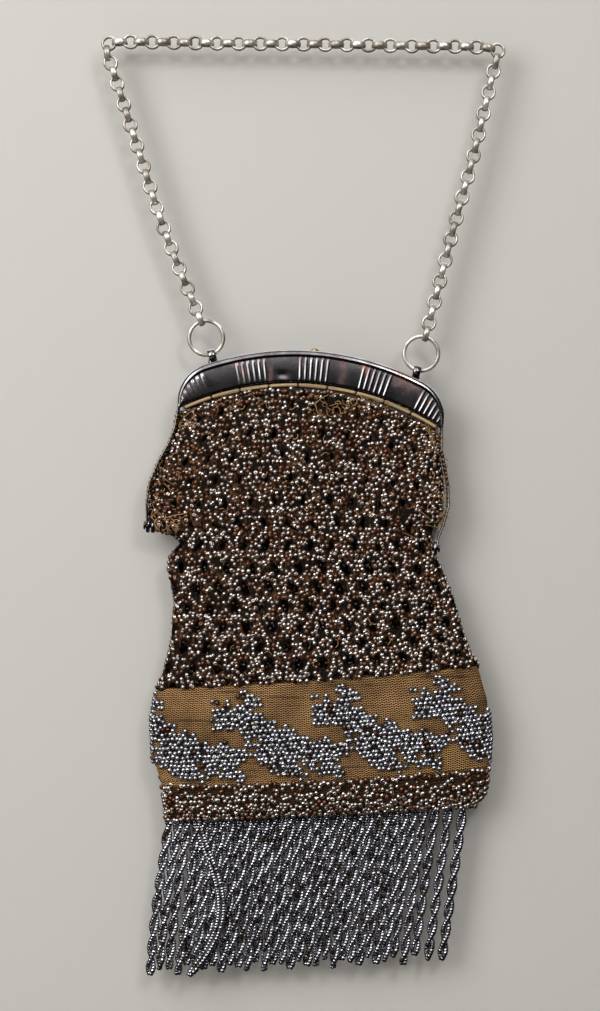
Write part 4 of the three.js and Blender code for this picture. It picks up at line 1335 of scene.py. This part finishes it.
# Bead border
# Below the band the knit is dark brown and set all over with steel beads down to the fringe.
# It narrows in depth and closes the pouch.
BORDER_TOP = 124.2
BORDER_BOTTOM = 135.8
BORDER_ROWS = 14
BORDER_LIFT = -0.1
BORDER_BEADS_FROM = 0.6
BORDER_BEADS_PAST = 1.2
BORDER_ROW_HEIGHT = 1.46
BORDER_BEADS_ROUND = 152
BORDER_JITTER = 0.24
BORDER_KEPT = 0.95
BORDER_STAND = 0.3
BORDER_FACING = 0.08
BORDER_SIZES = (0.96, 1.12)
BORDER_TONES = (1.5, 1.3)
BORDER_RUST = (0.22, 0.7)
GAPS_ROUND = 36
GAP_ROWS = 3
GAP_FIRST_ROW = 2.2
GAP_ROW_HEIGHT = 3.9
GAP_HALF_WIDTH = 1.1
GAP_HALF_HEIGHT = 0.8
GAP_REACH = (0.6, 1.3)
BORDER_SEED = 41

dark_knit = knit_finish("dark_knit", (84, 57, 30), (13, 8, 5), (50, 34, 18))
border = pouch_sheet("border_cloth", BORDER_TOP, BORDER_BOTTOM, BAND_COLUMNS, BORDER_ROWS, BORDER_LIFT)
border.data.materials.append(dark_knit)
add_wall(border, BAND_THICKNESS)
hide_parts("bead_border")
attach(border, "root")

border_chance = np.random.default_rng(BORDER_SEED)
border_around, border_drop = bead_rows(
    BORDER_TOP + BORDER_BEADS_FROM,
    BORDER_BOTTOM + BORDER_BEADS_PAST,
    BORDER_ROW_HEIGHT,
    BORDER_BEADS_ROUND,
    border_chance,
    BORDER_JITTER,
)
border_stays = border_chance.random(border_around.shape) < BORDER_KEPT
gap_line = (border_drop - BORDER_TOP - GAP_FIRST_ROW) / GAP_ROW_HEIGHT
gap_row = np.clip(np.round(gap_line), 0, GAP_ROWS - 1)
gap_column = border_around * GAPS_ROUND + 0.5 * gap_row
gap_x = (gap_column - np.round(gap_column)) * POUCH_GIRTH / GAPS_ROUND / GAP_HALF_WIDTH
gap_z = (gap_line - gap_row) * GAP_ROW_HEIGHT / GAP_HALF_HEIGHT
gap_reach = border_chance.uniform(*GAP_REACH, border_around.shape)
border_stays &= gap_x ** 2 + gap_z ** 2 > gap_reach ** 2
border_beads = pouch_beads(
    "border_beads",
    border_around[border_stays],
    border_drop[border_stays],
    BORDER_STAND,
    BORDER_FACING,
    BORDER_SIZES,
    BORDER_TONES,
    BORDER_RUST,
    border_chance,
)
border_beads.data.materials.append(net_steel)
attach(border_beads, "root")


# Fringe
# Each strand is a string of small steel beads doubled over and twisted on itself. The strands
# hang side by side from a narrow brown head under the border, and all lean a little to the left.
STRANDS = 33
STRAND_SPACES = {0: 1.1, 1: 1.1, 2: 1.05, 29: 1.25, 30: 1.45, 31: 1.6, 32: 1.7}
HEAD_LEFT = -45.4
HEAD_RIGHT = 56.6
HEAD_Z_LEFT = -258.2
HEAD_Z_RIGHT = -253.6
HEAD_HALF_HEIGHT = 0.8
HEAD_HALF_DEPTH = 0.8
HEAD_STATIONS = 121
HEAD_SIDES = 16
HEAD_WAVE = 0.12
STRAND_RISE = 0.8
STRAND_LENGTH = 51.6
STRAND_LENGTH_VARIES = 1.5
STRAND_LENGTH_TURN = 2.4
LEAN_LEFT_END = 6.6
LEAN_RIGHT_END = 7.4
# Bulges to the right of the strands that leave slits, by strand, and the one that has come untwisted
# and swings out over its neighbours
STRAND_BULGES = {0: -0.8, 1: -0.6, 2: -0.5, 3: 0.3, 4: 0.2}
STRAY_PLACE = 2.75
STRAY_LEAN = 2.2
STRAY_BULGE = 9.9
STRAY_SKEW = 1.3
STRAY_FORWARD = 2.8
STRAY_TURNS = 0.1
STRAY_TONE = 0.6
STRAND_DEPTH_VARIES = 0.7
TWIST_TURN = 14.5
TWIST_RADIUS = 0.9
TWIST_PHASE_VARIES = 0.4
TIP_CLOSES_OVER = 24
TIP_CLOSED = 0.1
FRINGE_BEAD_RADIUS = 0.89
FRINGE_BEAD_LENGTH = 1.04
FRINGE_BEAD_HOLE = 0.77
FRINGE_BEAD_BELLY = 0.84
FRINGE_BEAD_SIDES = 6
FRINGE_BEADS = 58
FRINGE_STEP = 0.004
FRINGE_WANDER = 0.03
FRINGE_SIZES = (0.94, 1.04)
FRINGE_TONES = (2.4, 1.2)
FRINGE_RUST_SHARE = 0.12
FRINGE_RUST_DEPTH = 0.55
FRINGE_SEED = 53

fringe_chance = np.random.default_rng(FRINGE_SEED)
strand = np.arange(STRANDS)
strand_space = np.array([STRAND_SPACES.get(i, 1.0) for i in strand])
strand_edge = np.concatenate([[0], np.cumsum(strand_space)]) / strand_space.sum()
strand_place = np.append(strand + 0.5, STRAY_PLACE + 0.5)
strand_share = np.interp(strand_place, np.arange(STRANDS + 1), strand_edge)
strand_lean = LEAN_LEFT_END + (LEAN_RIGHT_END - LEAN_LEFT_END) * strand_share
strand_lean[-1] = STRAY_LEAN
strand_bulge = np.array([STRAND_BULGES.get(i, 0.0) for i in strand] + [STRAY_BULGE])
strand_length = STRAND_LENGTH + STRAND_LENGTH_VARIES * np.sin(strand_place * STRAND_LENGTH_TURN)
strand_turns = np.append(strand_length[:-1] / TWIST_TURN, STRAY_TURNS)
strand_phase = np.append(np.pi / 2 * strand + fringe_chance.normal(0, TWIST_PHASE_VARIES, STRANDS), 0)
strand_depth = np.append(STRAND_DEPTH_VARIES * (-1.0) ** strand, -STRAY_FORWARD)


def strand_point(along, string):
    """A point on one string of each strand: the strand's own way down, and the twist round it.

    along runs from 0 at the head to 1 at the tip, and the two strings lie half a turn apart."""
    x = HEAD_LEFT + (HEAD_RIGHT - HEAD_LEFT) * strand_share[:, None]
    z = HEAD_Z_LEFT + (HEAD_Z_RIGHT - HEAD_Z_LEFT) * strand_share[:, None] + STRAND_RISE
    x = x - strand_lean[:, None] * along
    x = x + strand_bulge[:, None] * np.sin(np.pi * np.clip(along, 0, 1) ** STRAY_SKEW)
    turn = strand_phase[:, None] + np.pi * string - 2 * np.pi * strand_turns[:, None] * along
    closing = np.sqrt(np.clip((1 - along) * TIP_CLOSES_OVER, TIP_CLOSED, 1))
    x = x + TWIST_RADIUS * closing * np.cos(turn)
    y = TWIST_RADIUS * closing * np.sin(turn) + strand_depth[:, None] * np.sin(np.pi * along / 2)
    return np.stack(np.broadcast_arrays(x, y, z - strand_length[:, None] * along), axis=-1)


string_along = (np.arange(FRINGE_BEADS)[None, :] + 0.5) / FRINGE_BEADS
string_points = np.concatenate([strand_point(string_along, string) for string in (0, 1)])
string_ahead = np.concatenate([strand_point(string_along + FRINGE_STEP, string) for string in (0, 1)])
string_axes = (string_ahead - string_points).reshape(-1, 3)
string_axes = unit(string_axes + fringe_chance.normal(0, FRINGE_WANDER, string_axes.shape))
fringe_count = len(string_axes)
string_tones = fringe_chance.beta(*FRINGE_TONES, fringe_count).reshape(2, -1, FRINGE_BEADS)
string_tones[:, -1] = STRAY_TONE
fringe_steel = bead_finish("fringe_steel", (198, 197, 203), (54, 52, 55), (74, 54, 42), 0.29, 0.02)
FRINGE_BEAD = bead_shape(
    FRINGE_BEAD_RADIUS, FRINGE_BEAD_LENGTH, FRINGE_BEAD_HOLE, FRINGE_BEAD_BELLY, FRINGE_BEAD_SIDES
)
fringe = bead_string(
    "fringe_beads",
    FRINGE_BEAD,
    string_points.reshape(-1, 3),
    string_axes,
    fringe_chance.uniform(0, 2 * np.pi, fringe_count),
    fringe_chance.uniform(*FRINGE_SIZES, fringe_count),
    string_tones.ravel(),
    np.where(fringe_chance.random(fringe_count) < FRINGE_RUST_SHARE, FRINGE_RUST_DEPTH, 0),
)
fringe.data.materials.append(fringe_steel)
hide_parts("fringe")
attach(fringe, "root")

head_share = np.linspace(0, 1, HEAD_STATIONS)[:, None]
head_turn = full_turn(HEAD_SIDES)[None, :]
head_wave = 1 + HEAD_WAVE * np.cos(2 * np.pi * STRANDS * head_share)
head_x = HEAD_LEFT + (HEAD_RIGHT - HEAD_LEFT) * head_share + 0 * head_turn
head_y = HEAD_HALF_DEPTH * head_wave * np.cos(head_turn)
head_z = HEAD_Z_LEFT + (HEAD_Z_RIGHT - HEAD_Z_LEFT) * head_share + HEAD_HALF_HEIGHT * np.sin(head_turn)
head_points, head_faces = lofted(np.stack([head_x, head_y, head_z], axis=-1))
head = add_mesh("fringe_head", head_points, outwards(head_points, head_faces))
smooth_shaded(merged(head)).data.materials.append(brown_silk)
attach(head, "root")


# Rings
# Two rings of pale flat wire hang in the frame's eyes and take the chain's end links. The right
# one is a split ring, whose wire runs round twice.
RING_RADIUS = 5.7
RING_RADIAL = 1.25
RING_AXIAL = 1.7
RING_PULL = 0.5
RING_SIDES = 64
RING_ROUNDING = 0.7
SPLIT_SHARE = 0.48
SPLIT_SHIFT = 0.26
SPLIT_ROUNDING = 0.8
WIRE_SIDES = 12

pale_nickel = old_metal_finish(
    "pale_nickel", (216, 211, 203), (140, 131, 119), (104, 80, 60), 260.0, 0.27, 0.72
)


def ring_centre(side):
    """The middle of a ring, whose wire rests in the eye at the side away from the chain."""
    return eye_centre(side) + chain_pull(side) * (RING_RADIUS + RING_PULL)


def oval_wire(radius, radial, axial, sides, power):
    """A ring wire's section as (radius, height) rows: an oval, squarer for a smaller power."""
    angle = full_turn(sides)
    out = signed_power(np.cos(angle), power)
    up = signed_power(np.sin(angle), power)
    return np.stack([radius + radial / 2 * out, axial / 2 * up], axis=1)


LEFT_WIRES = [oval_wire(RING_RADIUS, RING_RADIAL, RING_AXIAL, WIRE_SIDES, RING_ROUNDING)]
SPLIT_WIRE = oval_wire(RING_RADIUS, RING_RADIAL, RING_AXIAL * SPLIT_SHARE, WIRE_SIDES, SPLIT_ROUNDING)
RIGHT_WIRES = [SPLIT_WIRE + np.array([0, shift * RING_AXIAL]) for shift in (-SPLIT_SHIFT, SPLIT_SHIFT)]
for side, name, wires in ((-1, "left", LEFT_WIRES), (1, "right", RIGHT_WIRES)):
    skins = [turned(wire, ring_centre(side), TO_BACK, TO_RIGHT, RING_SIDES) for wire in wires]
    ring = add_mesh("chain_ring_" + name, *together(skins))
    smooth_shaded(ring).data.materials.append(pale_nickel)
    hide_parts("ring_" + name)
    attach(ring, "root")


# Chain handle
# A long chain of round links of pale flat wire. Every second link stands edge on, and the end
# links pass round the rings.
CHAIN_ROUTE = np.array([
    # x, z
    (-45.3, -63),
    (-55.4, -32),
    (-63.2, -7.5),
    (-64.6, -2.2),
    (-61.2, 0.6),
    (-30, 0.3),
    (0, 0),
    (30, -0.5),
    (61.6, -1.2),
    (65.1, -3.8),
    (63.8, -9.6),
    (57.2, -37.5),
    (50.5, -62),
])
LINK_HALF_LENGTH = 2.72
LINK_HALF_WIDTH = 2.5
LINK_RADIAL = 0.9
LINK_AXIAL = 2.0
LINK_PITCH = 3.62
LINK_SIDES = 24
LINK_WIRE_SIDES = 10
LINK_ROUNDING = 0.75
ROUTE_STEPS = 40


def smooth_route(points, steps):
    """A smooth line through points: between two points, a cubic whose slopes join their neighbours."""
    padded = np.concatenate([2 * points[:1] - points[1:2], points, 2 * points[-1:] - points[-2:-1]])
    a, b, c, d = padded[:-3, None], padded[1:-2, None], padded[2:-1, None], padded[3:, None]
    t = np.linspace(0, 1, steps, endpoint=False)[None, :, None]
    cubic = 0.5 * (2 * b + (c - a) * t + (2 * a - 5 * b + 4 * c - d) * t ** 2)
    cubic = cubic + 0.5 * (3 * b - a - 3 * c + d) * t ** 3
    return np.concatenate([cubic.reshape(-1, points.shape[1]), points[-1:]])


link_radius = LINK_HALF_WIDTH - LINK_RADIAL / 2
end_reach = RING_RADIUS - RING_RADIAL / 2 + LINK_HALF_LENGTH - LINK_RADIAL
chain_ends = [ring_centre(side) + chain_pull(side) * end_reach for side in (-1, 1)]
route = np.stack([CHAIN_ROUTE[:, 0], 0 * CHAIN_ROUTE[:, 0], CHAIN_ROUTE[:, 1]], axis=1)
route = smooth_route(np.concatenate([chain_ends[:1], route, chain_ends[1:]]), ROUTE_STEPS)
route_length = np.concatenate([[0], np.cumsum(np.linalg.norm(np.diff(route, axis=0), axis=1))])
link_pairs = int(round(route_length[-1] / LINK_PITCH / 2))
link_place = np.linspace(0, route_length[-1], 2 * link_pairs + 1)
link_centres = np.stack([np.interp(link_place, route_length, route[:, k]) for k in range(3)], axis=1)
link_along = unit(np.gradient(link_centres, axis=0))
link_wire = oval_wire(link_radius, LINK_RADIAL, LINK_AXIAL, LINK_WIRE_SIDES, LINK_ROUNDING)
link_skins = []
for index, (centre, along) in enumerate(zip(link_centres, link_along)):
    edge_on = index % 2 == 0
    axis = np.cross(along, TO_BACK) if edge_on else TO_BACK
    points, faces = turned(link_wire, np.zeros(3), axis, along, LINK_SIDES)
    stretch = (LINK_HALF_LENGTH - LINK_HALF_WIDTH) * np.clip(points @ along / link_radius, -1, 1)
    link_skins.append((centre + points + stretch[:, None] * along, faces))
chain = add_mesh("chain_links", *together(link_skins))
smooth_shaded(chain).data.materials.append(pale_nickel)
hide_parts("chain_handle")
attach(chain, "root")


# Loose threads
# Ends of tan silk have worked loose from the net: short curls among the beads, thickest under the
# cord, at the wings and in the bare patch, and some longer ends that hang out.
CURL_TUFTS = np.array([
    # x, z, half width, half height, curls
    (-44.6, -160.6, 4.2, 1.8, 44),
    (-49.0, -157.6, 1.4, 1.4, 12),
    (-44.0, -146.0, 4.5, 9.0, 22),
    (-38.0, -126.0, 4.0, 2.6, 18),
    (-20.0, -118.6, 11.0, 2.8, 34),
    (7.0, -120.6, 4.6, 2.6, 26),
    (24.0, -119.6, 10.0, 2.8, 30),
    (43.4, -131.0, 2.2, 5.0, 28),
    (45.4, -146.0, 2.2, 8.0, 22),
    (45.0, -157.6, 2.6, 3.0, 18),
    (0.0, -142.0, 30.0, 16.0, 52),
])
CURLS_ELSEWHERE = 80
CURL_RADIUS = 0.12
CURL_STEPS = 8
CURL_SIZES = (0.5, 2.2)
CURL_TURNS = (0.4, 2.4)
CURL_TIP = 0.4
CURL_OPEN = 1.2
CURL_CLOSES = 0.8
END_STEPS = 8
END_RISE = 0.6
EDGE_ROOM = 0.001
THREAD_STAND = 0.9
THREAD_SEED = 61
LONG_ENDS = [
    [(-47.3, -143.6), (-44.8, -145.4), (-41.9, -147.2)],
    [(-45.5, -146.5), (-44.0, -148.0), (-43.0, -149.8)],
    [(-50.2, -151.9), (-48.4, -155.2), (-45.9, -157.0)],
    [(-50.6, -154.5), (-49.1, -155.5), (-45.5, -157.7)],
    [(-45.5, -158.0), (-41.9, -157.0), (-39.4, -156.6), (-37.6, -155.9)],
    [(-41.2, -158.7), (-38.6, -157.3), (-37.9, -155.9)],
    [(-40.2, -125.9), (-36.5, -122.6), (-35.0, -125.5)],
    [(-40.5, -127.7), (-38.4, -127.2), (-36.5, -127.3)],
    [(4.6, -120.1), (6.8, -118.2), (8.8, -117.3)],
    [(4.6, -120.1), (5.2, -122.7), (6.8, -124.6)],
    [(10.3, -122.7), (10.7, -121.4), (12.3, -121.4), (12.9, -123.0), (12.3, -124.3)],
    [(7.2, -119.8), (8.2, -120.2), (8.8, -121.1)],
    [(9.4, -120.8), (11.8, -120.2), (14.2, -120.3)],
    [(38.2, -126.6), (41.1, -127.3), (43.6, -131.0), (45.4, -134.2)],
    [(40.4, -127.6), (42.8, -130.6), (44.6, -134.8)],
    [(42.5, -150.8), (46.2, -151.2), (48.0, -153.0)],
    [(38.5, -155.2), (41.4, -157.3), (44.3, -159.9)],
    [(41.1, -160.2), (44.1, -160.8), (46.6, -161.3)],
    [(33.8, -162.8), (37.8, -164.6), (41.0, -165.3), (43.0, -167.8), (43.4, -171.1)],
]


def front_depth(x, z):
    """Depth of the pouch's front face at places x, z, found on the row whose height there is z."""
    left, right, z_left, z_right, crown, depth = (column[None] for column in table_columns)
    share = np.clip((x[:, None] - left) / (right - left), EDGE_ROOM, 1 - EDGE_ROOM)
    sine = 2 * np.sqrt(share * (1 - share))
    height = z_left + (z_right - z_left) * share + crown * sine ** 2
    row = np.abs(height - z[:, None]).argmin(axis=1)
    return -depth[0, row] * sine[np.arange(len(x)), row] ** SIDE_FULLNESS


thread_chance = np.random.default_rng(THREAD_SEED)
tuft = np.repeat(np.arange(len(CURL_TUFTS)), CURL_TUFTS[:, 4].astype(int))
tuft_spread = thread_chance.uniform(-1, 1, (2, len(tuft)))
tuft_x = CURL_TUFTS[tuft, 0] + CURL_TUFTS[tuft, 2] * tuft_spread[0]
tuft_z = CURL_TUFTS[tuft, 1] + CURL_TUFTS[tuft, 3] * tuft_spread[1]
tuft_middle = np.stack([tuft_x, front_depth(tuft_x, tuft_z) - THREAD_STAND, tuft_z], axis=1)
other_around = thread_chance.random(CURLS_ELSEWHERE)
other_drop = thread_chance.uniform(1, NET_BOTTOM - 1, CURLS_ELSEWHERE)
other_middle = pouch_point(other_around, other_drop, THREAD_STAND)
curl_middle = np.concatenate([tuft_middle, other_middle])
curl_count = len(curl_middle)
curl_size = thread_chance.uniform(*CURL_SIZES, curl_count)
curl_start = thread_chance.uniform(0, 2 * np.pi, curl_count)
curl_turn = thread_chance.uniform(*CURL_TURNS, curl_count)
curl_tip = thread_chance.normal(0, CURL_TIP, curl_count)
thread_paths = []
for k in range(curl_count):
    share = np.linspace(0, 1, CURL_STEPS)
    turn = curl_start[k] + curl_turn[k] * share
    reach = curl_size[k] * (CURL_OPEN - CURL_CLOSES * share)
    flat = np.stack([np.cos(turn), curl_tip[k] * np.cos(turn), np.sin(turn)], axis=1)
    thread_paths.append(curl_middle[k] + reach[:, None] * flat)
for points in LONG_ENDS:
    flat = smooth_route(np.array(points, dtype=float), END_STEPS)
    rise = np.sin(np.linspace(0, np.pi, len(flat)))
    depth = front_depth(flat[:, 0], flat[:, 1]) - THREAD_STAND - END_RISE * rise
    thread_paths.append(np.stack([flat[:, 0], depth, flat[:, 1]], axis=1))
threads = add_mesh("loose_silk", *together([thread_tube(path, CURL_RADIUS) for path in thread_paths]))
add_attribute(threads, "fade", thread_fade(thread_paths, thread_chance))
smooth_shaded(merged(threads)).data.materials.append(tan_silk)
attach(threads, "root")


# Size
# The frame's box and the finished model's box, in metres
sizes = {
    "cad": [list(corner) for corner in cad_box],
    "visual": [list(corner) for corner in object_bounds()],
}
